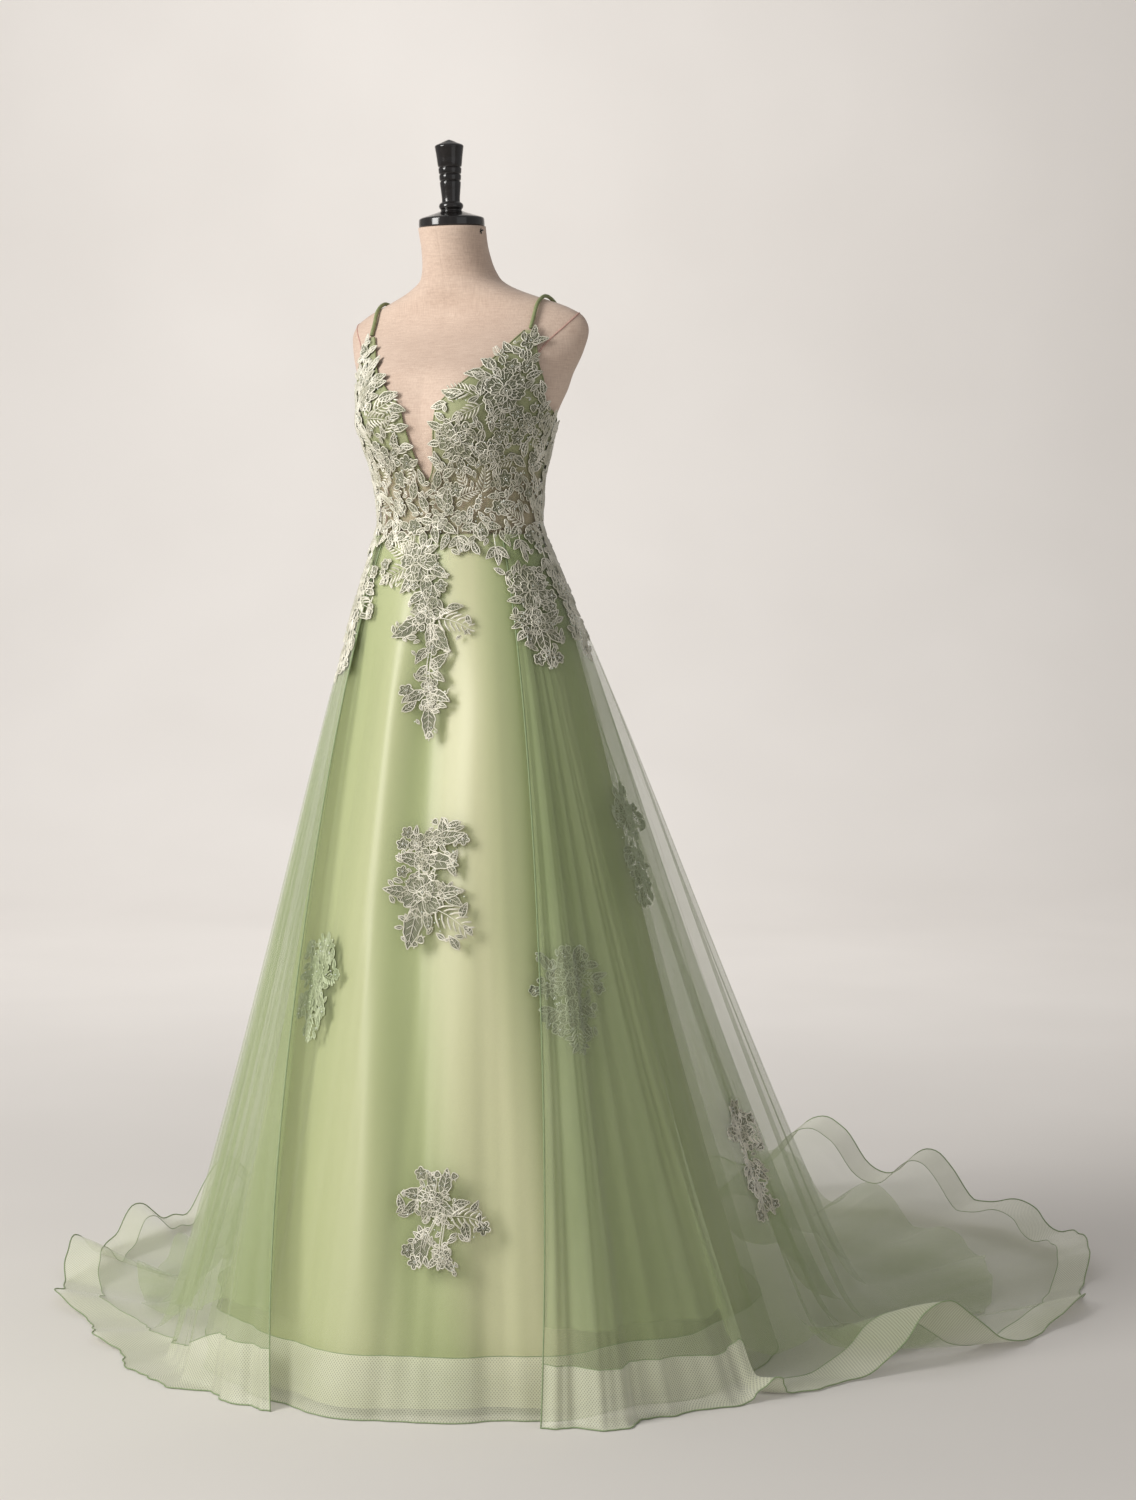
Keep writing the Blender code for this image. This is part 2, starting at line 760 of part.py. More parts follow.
def profile(t):
    """How far out a skirt stands at a share t of its drop, from 0 at the waist to 1 at the floor."""
    return t + HIP_FULLNESS * t * max(0.0, 1 - t) ** 4


def flutes(angle):
    return sum(out * bump(angle, centre, width) for centre, width, out in FLUTE_ROWS)


def waist_point(angle, gap):
    flat = normal_of(form_point, angle, WAIST_Z)
    flat.z = 0.0
    return form_point(angle, WAIST_Z) + flat.normalized() * gap


def skirt_point(angle, z, seat, extra, depth):
    """Inside of an underskirt: seat off the form at the waist, extra radius at the hem, depth of flutes."""
    t = (WAIST_Z - z) / WAIST_Z
    top = waist_point(angle, seat)
    radius = SKIRT(angle % 360.0)[0] + extra
    hem = polar(angle, radius, 0.0)
    reach = profile(t)
    out = polar(angle, depth * flutes(angle) * t * t, 0.0)
    return Vector((top.x + (hem.x - top.x) * reach + out.x, top.y + (hem.y - top.y) * reach + out.y, z))


def satin_point(angle, z):
    return skirt_point(angle, z, SATIN_SEAT, 0.0, 1.0)


def tulle_point(angle, z):
    return skirt_point(angle, z, TULLE_SEAT, TULLE_OUT, 0.85)


def skirt_half(name, slot, surface, first, last, heights, thickness):
    """Half of a ring of cloth between two angles, open at its side seams."""
    gap = math.degrees(SEAM_GAP / 2 / 0.125)
    low = first + gap
    high = last - gap
    angles = [low + (high - low) * c / SKIRT_COLUMNS for c in range(SKIRT_COLUMNS + 1)]
    rows = [[surface(angle, z) for angle in angles] for z in heights]
    normals = [[normal_of(surface, angle, z) for angle in angles] for z in heights]
    return wall(name, slot, rows, normals, thickness)


def levels(low, high, count, power):
    """Heights from low to high, closer together toward the top when power is over 1."""
    return [high - (high - low) * (1 - k / count) ** power for k in range(count + 1)]


def build_underskirts():
    top = WAIST_Z - SEAM_GAP
    satin = levels(SATIN_HEM_Z, top, SATIN_SKIRT_ROWS, 1.4)
    tulle = levels(BRAID_WIDTH + SEAM_GAP + FLOOR_GAP, top, TULLE_SKIRT_ROWS, 1.4)
    braid = levels(FLOOR_GAP, BRAID_WIDTH + FLOOR_GAP, 1, 1.0)
    for half, first in (("front", -90.0), ("back", 90.0)):
        last = first + 180.0
        skirt_half("satin_" + half, "satin", satin_point, first, last, satin, SATIN_WALL)
        skirt_half("tulle_" + half, "tulle", tulle_point, first, last, tulle, TULLE_WALL)
        skirt_half("tulle_braid_" + half, "braid", tulle_point, first, last, braid, TULLE_WALL)


# Overlay with its train


def overlay_point(angle, q):
    """Inside of the overlay. q is 0 at the waist and 1 where the cone would meet the floor."""
    waist_angle, cone, _ = OVERLAY(angle)
    hem_radius = OVERLAY(angle)[2]
    top = waist_point(waist_angle, OVERLAY_SEAT)
    near = math.hypot(top.x, top.y)
    first = heading(top)
    last_q = (hem_radius - near) / (cone - near)
    bend = min(FLOOR_BEND, 0.25 * (hem_radius - cone))
    height = WAIST_Z - SEAM_GAP - FLOOR_GAP
    line = (height - bend * bend / height) * (1 - q)
    z = FLOOR_GAP + 0.5 * (line + math.sqrt(line * line + 4 * bend * bend))
    radius = near + (cone - near) * (q + HIP_FULLNESS * q * max(0.0, 1 - q) ** 4)
    along = q / last_q
    turn = first + (angle - first) * along ** TURN_LATE
    weight = max(0.0, (q - FOLD_START) / (1 - FOLD_START))
    rise = max(0.0, min(1.0, (along - 0.45) / 0.55))
    for centre, width, out, pleat, lift in FOLD_ROWS:
        away = (angle - centre) / width
        if abs(away) >= 0.5:
            continue
        swell = math.cos(math.pi * away) ** 2
        radius += out * swell * min(weight, 1.0)
        z += lift * swell * rise * rise * (3 - 2 * rise)
        if pleat:
            swing = math.sin(2 * math.pi * away) * min(weight, 1.0) ** PLEAT_RISE
            radius -= PLEAT_OUT * pleat * swing
            turn -= math.degrees(pleat * swing / max(radius, 0.1))
    return polar(turn, radius, z)


def overlay_end(angle):
    """q at the hem."""
    waist_angle, cone, hem_radius = OVERLAY(angle)
    top = waist_point(waist_angle, OVERLAY_SEAT)
    near = math.hypot(top.x, top.y)
    return (hem_radius - near) / (cone - near)


def overlay_columns(first, last, count):
    """Hem angles spaced by length along the hem, closer where the pleat and the arch are."""
    samples = 400
    total = [0.0]
    for s in range(samples):
        angle = first + (last - first) * (s + 0.5) / samples
        crowd = 1.0 + 3.0 * bump(angle, 89.0, 50.0) + 2.0 * bump(angle, 108.0, 24.0)
        total.append(total[-1] + (0.25 + OVERLAY(angle)[2]) * crowd)
    found = []
    at = 0
    for c in range(count + 1):
        target = total[-1] * c / count
        while at < samples - 1 and total[at + 1] < target:
            at += 1
        share = (target - total[at]) / (total[at + 1] - total[at])
        found.append(first + (last - first) * (at + min(1.0, share)) / samples)
    return found


def overlay_strip(angle, shares, lengths):
    """One column's points from the hem up: lengths above the hem in the braid, then shares of the panel."""
    steps = 90
    end = overlay_end(angle)
    line = [overlay_point(angle, end * s / steps) for s in range(steps + 1)]
    runs = [0.0]
    for a, b in zip(line, line[1:]):
        runs.append(runs[-1] + (b - a).length)
    panel = runs[-1] - BRAID_WIDTH - SEAM_GAP
    found = []
    for target in [runs[-1] - up for up in lengths] + [panel * share for share in shares]:
        i = 0
        while i < steps - 1 and runs[i + 1] < target:
            i += 1
        t = (target - runs[i]) / (runs[i + 1] - runs[i])
        found.append(line[i].lerp(line[i + 1], t))
    return found


def build_overlay():
    shares = [1 - (k / OVERLAY_PANEL_ROWS) ** 1.35 for k in range(OVERLAY_PANEL_ROWS + 1)]
    lengths = [BRAID_WIDTH * k / BRAID_ROWS for k in range(BRAID_ROWS + 1)]
    angles = []
    spans = []
    for name, first, last, count in OVERLAY_PANELS:
        low = first + (OVERLAY_SEAM_TURN if angles else 0.0)
        high = last - (OVERLAY_SEAM_TURN if last < OVERLAY_ROWS[-1][0] else 0.0)
        spans.append((name, len(angles), len(angles) + count + 1))
        angles += overlay_columns(low, high, count)
    strips = [overlay_strip(angle, shares, lengths) for angle in angles]
    rows = [[strip[k] for strip in strips] for k in range(len(lengths) + len(shares))]
    normals = grid_normals(rows)
    split = len(lengths)
    seam = grid_normals([rows[split - 2], rows[split - 1], rows[split + 1]])[1]
    normals[split - 1] = seam
    normals[split] = seam
    for name, first, last in spans:
        panel = [row[first:last] for row in rows]
        lines = [row[first:last] for row in normals]
        wall(name, "tulle", panel[split:], lines[split:], TULLE_WALL)
        wall(name + "_braid", "braid", panel[:split], lines[:split], TULLE_WALL)


# Lace, drawn flat and then laid on: distance round the body and height


def motif(kind, across, height, size, turn):
    """Outline of a motif round its middle. size is a rose's radius, or half the length of the others."""
    steps, slim, notch = MOTIFS[kind]
    tilt = math.radians(turn)
    points = []
    for s in range(steps):
        around = 2 * math.pi * s / steps
        reach = size
        if kind == "rose":
            reach *= 1 - notch * (0.5 - 0.5 * math.cos(ROSE_PETALS * around))
        along = reach * math.cos(around)
        side = slim * reach * math.sin(around)
        if kind == "fern" and s % 2 == 0:
            side *= notch
        x = across + along * math.sin(tilt) + side * math.cos(tilt)
        points.append(Vector((x, height + along * math.cos(tilt) - side * math.sin(tilt))))
    return points


def inside(point, outline):
    found = False
    for a, b in zip(outline, outline[1:] + outline[:1]):
        if (a.y > point.y) != (b.y > point.y):
            if point.x < a.x + (b.x - a.x) * (point.y - a.y) / (b.y - a.y):
                found = not found
    return found


def edge_distance(point, outline):
    best = 1.0
    for a, b in zip(outline, outline[1:] + outline[:1]):
        near, share = geometry.intersect_point_line(point, a, b)
        near = a if share < 0 else b if share > 1 else near
        best = min(best, (Vector((near.x, near.y)) - point).length)
    return best


def joined(faces, shares):
    """The largest set of faces that are joined through the things that shares gives for each."""
    owners = {}
    for f in faces:
        for key in shares(f):
            owners.setdefault(key, []).append(f)
    left = set(faces)
    groups = []
    while left:
        queue = [left.pop()]
        group = []
        while queue:
            f = queue.pop()
            group.append(f)
            for key in shares(f):
                for other in owners[key]:
                    if other in left:
                        left.remove(other)
                        queue.append(other)
        groups.append(group)
    return sorted(groups, key=lambda group: (-len(group), min(group)))


def sides(face):
    return [tuple(sorted(pair)) for pair in zip(face, face[1:] + face[:1])]


def one_piece(faces):
    """Drops what hangs on by a single point, then keeps the largest piece."""
    changed = True
    while changed:
        faces = sorted(joined(faces, sides)[0])
        changed = False
        for point in sorted({v for f in faces for v in f}):
            fans = joined([f for f in faces if point in f], lambda f: [s for s in sides(f) if point in s])
            if len(fans) > 1:
                dropped = {f for fan in fans[1:] for f in fan}
                faces = [f for f in faces if f not in dropped]
                changed = True
    return faces


def lay_lace(name, outlines, windows, grid, seat):
    """One cut piece of lace. seat turns a flat point into a point on the cloth below and its normal."""
    points = []
    edges = []
    for line in outlines + windows:
        start = len(points)
        points += line
        edges += [(start + i, start + (i + 1) % len(line)) for i in range(len(line))]

    def covered(p):
        return any(inside(p, line) for line in outlines) and not any(inside(p, line) for line in windows)

    low_x = min(p.x for p in points)
    low_y = min(p.y for p in points)
    for column in range(int((max(p.x for p in points) - low_x) / grid) + 1):
        for row in range(int((max(p.y for p in points) - low_y) / grid) + 1):
            p = Vector((low_x + (column + 0.5 * (row % 2)) * grid, low_y + row * grid))
            if covered(p) and all(edge_distance(p, line) > 0.35 * grid for line in outlines + windows):
                points.append(p)
    flat, _, faces = geometry.delaunay_2d_cdt(points, edges, [], 0, 0.0004)[:3]
    kept = []
    for a, b, c in faces:
        if covered((flat[a] + flat[b] + flat[c]) / 3):
            turned_left = (flat[b] - flat[a]).cross(flat[c] - flat[a]) > 0
            kept.append((a, b, c) if turned_left else (a, c, b))
    kept = one_piece(kept)
    used = sorted({v for f in kept for v in f})
    place = {v: i for i, v in enumerate(used)}
    laid = [seat(flat[v]) for v in used]
    shift = len(used)
    shape = [p for p, _ in laid] + [p + n * LACE_WALL for p, n in laid]
    lofted = []
    rim = {}
    for f in kept:
        a, b, c = (place[v] for v in f)
        lofted += [(c, b, a), (a + shift, b + shift, c + shift)]
        for pair in ((a, b), (b, c), (c, a)):
            if pair[::-1] in rim:
                del rim[pair[::-1]]
            else:
                rim[pair] = True
    for a, b in rim:
        lofted += [(b + shift, a + shift, a), (b + shift, a, b)]
    mesh = bpy.data.meshes.new(name)
    mesh.from_pydata([tuple(p) for p in shape], [], lofted)
    return add_object(name, "lace", mesh)


def cloth_tree():
    """The skirts built so far, for laying lace on."""
    points = []
    faces = []
    for body in PARTS.objects:
        if body.name.startswith(("tulle_", "overlay_")):
            shift = len(points)
            points += [v.co.copy() for v in body.data.vertices]
            faces += [tuple(v + shift for v in p.vertices) for p in body.data.polygons]
    return BVHTree.FromPolygons(points, faces)


def outermost(tree, turn, z, spread):
    """Point on the outermost skirt at a heading and height, the furthest out of three spread round it."""
    reach = 0.0
    for way in (turn - spread, turn, turn + spread):
        away = polar(way, 1.0, 0.0)
        hit = tree.ray_cast(away * 0.9 + Vector((0.0, 0.0, z)), -away)[0]
        reach = max(reach, math.hypot(hit.x, hit.y))
    return polar(turn, reach, z)


def skirt_seat(tree, turn, z, spread, gap):
    """Point just off the outermost skirt, and the normal there."""
    point = outermost(tree, turn, z, spread)
    across = outermost(tree, turn + 2.0, z, spread) - outermost(tree, turn - 2.0, z, spread)
    normal = across.cross(point - outermost(tree, turn, z - 0.008, spread)).normalized()
    return point + normal * gap, normal


def bodice_seat(tree, flat):
    """Point just off the bodice or, below the waist seam, just off the skirts."""
    angle = math.degrees(flat.x / LACE_ROUND)
    z = flat.y
    low = OVERLAY_SEAT + TULLE_WALL
    high = FORM_GAP + MESH_WALL
    if z < WAIST_Z - LAYER_GAP:
        spread = 3.0 * min(1.0, (WAIST_Z - z) / LACE_STEP)
        return skirt_seat(tree, heading(waist_point(angle, low)), z, spread, LACE_GAP)
    share = min(1.0, max(0.0, (z - WAIST_Z - 0.002) / LACE_STEP))
    normal = normal_of(form_point, angle, z)
    return form_point(angle, z) + normal * (low + (high - low) * share + LACE_GAP), normal


def toothed(edge, low, high, teeth, tip):
    """Points along an edge whose place is given at each height, with leaf tips that stick out past it."""
    found = []
    for k in range(2 * teeth + 1):
        z = low + (high - low) * k / (2 * teeth)
        found.append(Vector((edge(z) + (tip if k % 2 else 0.0), z)))
    return found


def build_bodice_lace(tree, side):
    """Lace over one front of the bodice, hanging over the waist seam."""

    def neck(z):
        return LACE_ROUND * math.radians(front_edge_angle(z))

    def arm(z):
        return LACE_ROUND * math.radians(ARMHOLE(z)[0])

    fringe = [Vector(row) for row in (FRINGE_LEFT if side > 0 else FRINGE_RIGHT)]
    top = PEAK_Z - 0.008
    outline = [Vector((0.0012, 1.2175)), *fringe]
    outline += toothed(arm, UNDERARM_Z + 0.004, top, ARM_TEETH, LEAF_TIP)
    outline += toothed(neck, V_BOTTOM_Z + 0.016, top - 0.002, NECK_TEETH, -LEAF_TIP)[::-1]
    outline = [Vector((max(0.0012, min(p.x, 0.2130)), p.y)) for p in outline]
    outline.append(Vector((0.0012, V_BOTTOM_Z - 0.006)))
    windows = [motif("window", *row) for row in BODICE_WINDOWS]
    lines = [outline] + windows
    if side < 0:
        lines = [[Vector((-p.x, p.y)) for p in line] for line in lines]
    name = "lace_bodice_left" if side > 0 else "lace_bodice_right"
    return lay_lace(name, lines[:1], lines[1:], BODICE_GRID, lambda flat: bodice_seat(tree, flat))


def build_back_lace(tree):
    """Lace over the low back, one piece between the side seams."""
    half_turn = math.pi * LACE_ROUND
    low = [Vector(row) for row in FRINGE_BACK]
    low += [Vector((2 * half_turn - p.x, p.y)) for p in low[::-1]]
    start = low[0].x
    end = low[-1].x
    count = 4 * BACK_TEETH
    high = []
    for k in range(count + 1):
        x = end + (start - end) * k / count
        angle = math.degrees(x / LACE_ROUND)
        z = back_top(min(angle, 360.0 - angle))
        high.append(Vector((x, z + (LEAF_TIP if k % 2 else -0.001))))
    windows = [motif("window", *row) for row in BACK_WINDOWS]
    windows += [[Vector((2 * half_turn - p.x, p.y)) for p in line] for line in windows]
    return lay_lace("lace_back", [low + high], windows, SKIRT_GRID, lambda flat: bodice_seat(tree, flat))


def build_applique(tree, name, centre, rows):
    """A spray of joined motifs lying on the skirts."""

    def seat(flat):
        middle = outermost(tree, centre, flat.y, 0.0)
        turn = centre + math.degrees(flat.x / math.hypot(middle.x, middle.y))
        return skirt_seat(tree, turn, flat.y, 1.5, APPLIQUE_GAP)

    return lay_lace(name, [motif(*row) for row in rows], [], SKIRT_GRID, seat)


def build_lace():
    tree = cloth_tree()
    for side in (1, -1):
        build_bodice_lace(tree, side)
    build_back_lace(tree)
    for name, centre, rows in APPLIQUES:
        build_applique(tree, name, centre, rows)


def main():
    form = build_form()
    build_knob()
    build_stand()
    for side in (1, -1):
        build_front(side)
        build_strap(side, form)
    build_back()
    build_underskirts()
    build_overlay()
    build_lace()


for old in list(bpy.data.objects):
    bpy.data.objects.remove(old, do_unlink=True)
PARTS = bpy.data.collections.new("a_line_dress")
bpy.context.scene.collection.children.link(PARTS)
main()
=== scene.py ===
"""The dress and its form as they look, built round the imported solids. Metres, +Z up, the front faces -Y."""

import math
import random

import bpy
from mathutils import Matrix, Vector, geometry
from mathutils.bvhtree import BVHTree


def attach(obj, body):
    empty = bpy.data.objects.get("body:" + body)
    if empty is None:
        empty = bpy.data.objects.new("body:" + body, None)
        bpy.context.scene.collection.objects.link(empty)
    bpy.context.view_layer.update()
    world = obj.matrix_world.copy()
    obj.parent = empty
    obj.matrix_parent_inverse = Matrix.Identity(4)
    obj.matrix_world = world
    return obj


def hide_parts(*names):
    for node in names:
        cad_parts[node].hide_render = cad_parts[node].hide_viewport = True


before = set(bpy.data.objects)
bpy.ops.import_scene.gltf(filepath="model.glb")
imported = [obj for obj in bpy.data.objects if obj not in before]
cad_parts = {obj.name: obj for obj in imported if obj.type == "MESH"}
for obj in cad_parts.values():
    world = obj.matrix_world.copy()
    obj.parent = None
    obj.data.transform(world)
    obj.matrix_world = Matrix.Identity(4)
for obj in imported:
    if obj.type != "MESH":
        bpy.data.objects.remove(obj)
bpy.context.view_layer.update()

# Heights above the floor
NECK_TOP = 1.66
PEAK_Z = 1.505
UNDERARM_Z = 1.386
CENTRE_BACK_Z = 1.300
V_BOTTOM_Z = 1.288
WAIST_Z = 1.215
FORM_BOTTOM = 0.995
SATIN_HEM_Z = 0.012
FLOOR_GAP = 0.0008

# Walls and gaps
MESH_WALL = 0.002
SATIN_WALL = 0.002
TULLE_WALL = 0.0012
SEAM_GAP = 0.0003
FORM_GAP = 0.0020
LAYER_GAP = 0.0004
LACE_GAP = 0.0012
APPLIQUE_GAP = 0.0008
BRAID_WIDTH = 0.085

# Where each layer's inside lies off the form at the waist
SATIN_SEAT = FORM_GAP
TULLE_SEAT = SATIN_SEAT + SATIN_WALL + LAYER_GAP
OVERLAY_SEAT = TULLE_SEAT + TULLE_WALL + LAYER_GAP
TULLE_OUT = 0.018

# Form sections: height, half width, front depth, back depth, centre's y, lean of the ring
FORM_ROWS = (
    (0.995, 0.150, 0.096, 0.112, 0.000, 0.0),
    (1.060, 0.153, 0.100, 0.114, 0.000, 0.0),
    (1.140, 0.141, 0.096, 0.102, 0.000, 0.0),
    (1.190, 0.128, 0.087, 0.089, 0.000, 0.0),
    (1.235, 0.122, 0.082, 0.081, 0.000, 0.0),
    (1.300, 0.127, 0.098, 0.077, 0.000, 0.0),
    (1.344, 0.137, 0.114, 0.081, 0.000, 0.0),
    (1.385, 0.148, 0.122, 0.088, 0.002, 0.0),
    (1.440, 0.153, 0.121, 0.094, 0.012, 0.0),
    (1.480, 0.166, 0.100, 0.090, 0.021, 0.0),
    (1.510, 0.172, 0.076, 0.080, 0.026, 0.0),
    (1.528, 0.166, 0.064, 0.070, 0.026, 0.0),
    (1.544, 0.145, 0.058, 0.062, 0.022, 0.0),
    (1.558, 0.114, 0.056, 0.057, 0.016, 0.0),
    (1.572, 0.083, 0.054, 0.053, 0.010, 0.01),
    (1.588, 0.060, 0.051, 0.051, 0.004, 0.02),
    (1.612, 0.0510, 0.0500, 0.0500, -0.006, 0.04),
    (1.636, 0.0485, 0.0485, 0.0485, -0.015, 0.06),
    (1.660, 0.0490, 0.0490, 0.0490, -0.0226, 0.07),
)
BUST_X = 0.078
BUST_Z = 1.385
BUST_OUT = 0.020
BUST_SPREAD_X = 0.052
BUST_SPREAD_Z = 0.058

# Shoulder ends: height, how far they stand out past the form's section
SHOULDER_ROWS = (
    (1.380, 0.000),
    (1.400, 0.006),
    (1.430, 0.016),
    (1.460, 0.019),
    (1.490, 0.0205),
    (1.520, 0.021),
    (1.540, 0.017),
    (1.560, 0.006),
    (1.575, 0.000),
)
SHOULDER_ANGLE = 96.0
SHOULDER_WIDTH = 44.0

# Neckline: height, distance of its edge from the centre front
NECK_ROWS = (
    (1.288, 0.0002),
    (1.310, 0.011),
    (1.365, 0.0235),
    (1.392, 0.030),
    (1.410, 0.046),
    (1.450, 0.085),
    (1.505, 0.122),
)

# Front panel's outer edge, side seam then armhole: height, angle round the body
ARMHOLE_ROWS = (
    (1.215, 91.0),
    (1.380, 91.0),
    (1.388, 89.0),
    (1.397, 80.0),
    (1.412, 73.5),
    (1.435, 70.0),
    (1.460, 62.5),
    (1.487, 55.5),
    (1.505, 52.0),
)

# Underskirts: angle, radius of the satin's hem
SKIRT_ROWS = (
    (-20.0, 0.339),
    (0.0, 0.338),
    (45.0, 0.346),
    (80.0, 0.385),
    (120.0, 0.452),
    (180.0, 0.486),
    (240.0, 0.452),
    (280.0, 0.385),
    (315.0, 0.346),
    (360.0, 0.338),
    (380.0, 0.339),
)

# Flutes of the satin: angle, width, how far out
FLUTE_ROWS = (
    (-2.0, 26.0, 0.013),
    (25.0, 26.0, 0.015),
    (49.0, 24.0, 0.012),
    (84.0, 34.0, 0.016),
    (124.0, 38.0, 0.018),
    (163.0, 36.0, 0.017),
    (201.0, 38.0, 0.019),
    (240.0, 36.0, 0.017),
    (276.0, 34.0, 0.015),
    (309.0, 30.0, 0.014),
    (334.0, 22.0, 0.009),
)
HIP_FULLNESS = 0.40

# Overlay: hem's angle, angle at the waist, radius where the hanging cone meets the floor, hem's radius
OVERLAY_ROWS = (
    (43.0, 50.0, 0.392, 0.394),
    (57.0, 55.0, 0.420, 0.430),
    (69.0, 60.0, 0.428, 0.440),
    (80.0, 64.0, 0.436, 0.456),
    (92.0, 74.0, 0.452, 0.505),
    (103.0, 92.0, 0.492, 0.615),
    (112.0, 105.0, 0.528, 0.745),
    (120.0, 115.0, 0.556, 0.870),
    (135.0, 130.0, 0.610, 1.060),
    (150.0, 146.0, 0.690, 1.210),
    (165.0, 160.0, 0.780, 1.230),
    (180.0, 180.0, 0.830, 1.200),
    (200.0, 204.0, 0.810, 1.190),
    (215.0, 220.0, 0.770, 1.150),
    (230.0, 236.0, 0.715, 1.080),
    (245.0, 250.0, 0.625, 0.940),
    (259.0, 262.0, 0.535, 0.825),
    (271.0, 272.0, 0.480, 0.705),
    (282.0, 280.0, 0.452, 0.585),
    (298.0, 291.0, 0.424, 0.500),
    (315.0, 301.0, 0.412, 0.455),
    (326.0, 307.0, 0.400, 0.404),
    (344.6, 315.0, 0.388, 0.390),
)

# Overlay folds: hem's angle, width, how far out, how far the pleat leans, how far the hem lifts
FOLD_ROWS = (
    (55.0, 14.0, 0.016, 0.0, 0.0),
    (65.0, 12.0, -0.008, 0.0, 0.0),
    (88.0, 34.0, 0.030, 0.030, 0.0),
    (86.0, 16.0, 0.0, 0.0, 0.030),
    (110.0, 16.0, 0.0, 0.0, 0.090),
    (127.0, 13.0, 0.010, 0.0, 0.022),
    (142.0, 12.0, 0.012, 0.0, 0.045),
    (152.5, 10.0, 0.0, 0.0, 0.055),
    (163.0, 10.0, 0.0, 0.0, 0.115),
    (174.0, 12.0, 0.015, 0.0, 0.150),
    (188.0, 13.0, 0.010, 0.0, 0.070),
    (203.0, 14.0, 0.012, 0.0, 0.060),
    (218.0, 13.0, 0.010, 0.0, 0.075),
    (231.0, 12.0, 0.012, 0.0, 0.090),
    (244.0, 12.0, 0.010, 0.0, 0.055),
    (257.0, 12.0, 0.012, 0.0, 0.050),
    (272.0, 14.0, 0.016, 0.0, 0.018),
    (289.0, 15.0, 0.018, 0.0, 0.010),
    (305.0, 13.0, 0.014, 0.0, 0.0),
    (320.0, 12.0, 0.012, 0.0, 0.0),
    (334.0, 12.0, 0.010, 0.0, 0.0),
)
PLEAT_OUT = 0.60
PLEAT_RISE = 2
FOLD_START = 0.06
LIFT_START = 0.45
TURN_LATE = 1.25
FLOOR_BEND = 0.040

# Appliques: motif, distance round the skirt from the applique's middle, height, size, heading from up
CASCADE = (
    ("rose", -0.023, 1.174, 0.029, 0),
    ("fern", -0.060, 1.190, 0.022, -65),
    ("fern", -0.060, 1.160, 0.024, -115),
    ("leaf", -0.038, 1.143, 0.016, -150),
    ("leaf", 0.013, 1.158, 0.016, 115),
    ("leaf", -0.006, 1.136, 0.020, 170),
    ("rose", 0.000, 1.104, 0.022, 30),
    ("leaf", -0.031, 1.080, 0.024, -125),
    ("fern", 0.036, 1.086, 0.028, 108),
    ("leaf", 0.024, 1.066, 0.024, 145),
    ("stem", 0.008, 1.046, 0.048, 178),
    ("leaf", 0.022, 1.034, 0.017, 50),
    ("rose", 0.010, 0.998, 0.014, 10),
    ("leaf", -0.010, 0.982, 0.016, -120),
    ("leaf", 0.026, 0.982, 0.017, 110),
    ("rose", 0.012, 0.974, 0.014, 40),
    ("leaf", 0.010, 0.945, 0.023, 178),
)
HIP_LEFT = (
    ("rose", 0.000, 1.138, 0.028, 0),
    ("stem", 0.002, 1.112, 0.018, 180),
    ("rose", 0.000, 1.090, 0.019, 30),
    ("leaf", -0.022, 1.092, 0.017, -80),
    ("leaf", 0.024, 1.098, 0.016, 60),
    ("leaf", 0.004, 1.060, 0.021, 175),
    ("leaf", 0.022, 1.068, 0.016, 125),
    ("leaf", -0.014, 1.064, 0.016, 205),
    ("leaf", 0.006, 1.037, 0.014, 180),
)
HIP_RIGHT = (
    ("leaf", -0.004, 1.170, 0.014, -10),
    ("rose", 0.000, 1.146, 0.024, 0),
    ("stem", -0.002, 1.122, 0.018, 180),
    ("fern", 0.020, 1.112, 0.020, 130),
    ("rose", -0.004, 1.100, 0.020, 30),
    ("leaf", -0.026, 1.108, 0.016, -75),
    ("leaf", 0.008, 1.068, 0.020, 170),
    ("leaf", -0.014, 1.074, 0.018, 210),
    ("rose", 0.004, 1.040, 0.015, 10),
    ("leaf", -0.002, 1.018, 0.014, 190),
)
MID_FRONT = (
    ("leaf", 0.015, 0.798, 0.017, 0),
    ("leaf", 0.028, 0.790, 0.020, 80),
    ("rose", 0.004, 0.782, 0.016, 0),
    ("rose", -0.020, 0.777, 0.015, 30),
    ("rose", -0.009, 0.754, 0.018, 10),
    ("leaf", 0.018, 0.751, 0.024, 97),
    ("leaf", 0.034, 0.761, 0.010, 25),
    ("leaf", -0.032, 0.753, 0.020, -75),
    ("stem", -0.016, 0.736, 0.016, 170),
    ("rose", -0.009, 0.706, 0.030, 20),
    ("leaf", 0.032, 0.710, 0.019, 78),
    ("leaf", 0.036, 0.698, 0.015, 118),
    ("leaf", -0.048, 0.710, 0.018, -80),
    ("fern", 0.030, 0.672, 0.032, 122),
    ("leaf", -0.022, 0.658, 0.030, 192),
    ("leaf", 0.000, 0.668, 0.015, 170),
)
LOWER_FRONT = (
    ("leaf", 0.006, 0.318, 0.019, 10),
    ("leaf", -0.014, 0.318, 0.015, -20),
    ("rose", -0.013, 0.293, 0.020, 0),
    ("leaf", -0.040, 0.297, 0.018, -80),
    ("leaf", -0.044, 0.281, 0.016, -130),
    ("leaf", 0.008, 0.283, 0.018, 125),
    ("fern", 0.034, 0.267, 0.026, 100),
    ("leaf", 0.038, 0.252, 0.014, 165),
    ("stem", 0.004, 0.250, 0.030, 180),
    ("stem", -0.012, 0.254, 0.026, 200),
    ("leaf", -0.024, 0.227, 0.027, 188),
    ("rose", 0.005, 0.217, 0.014, 10),
    ("leaf", 0.015, 0.206, 0.012, 140),
)

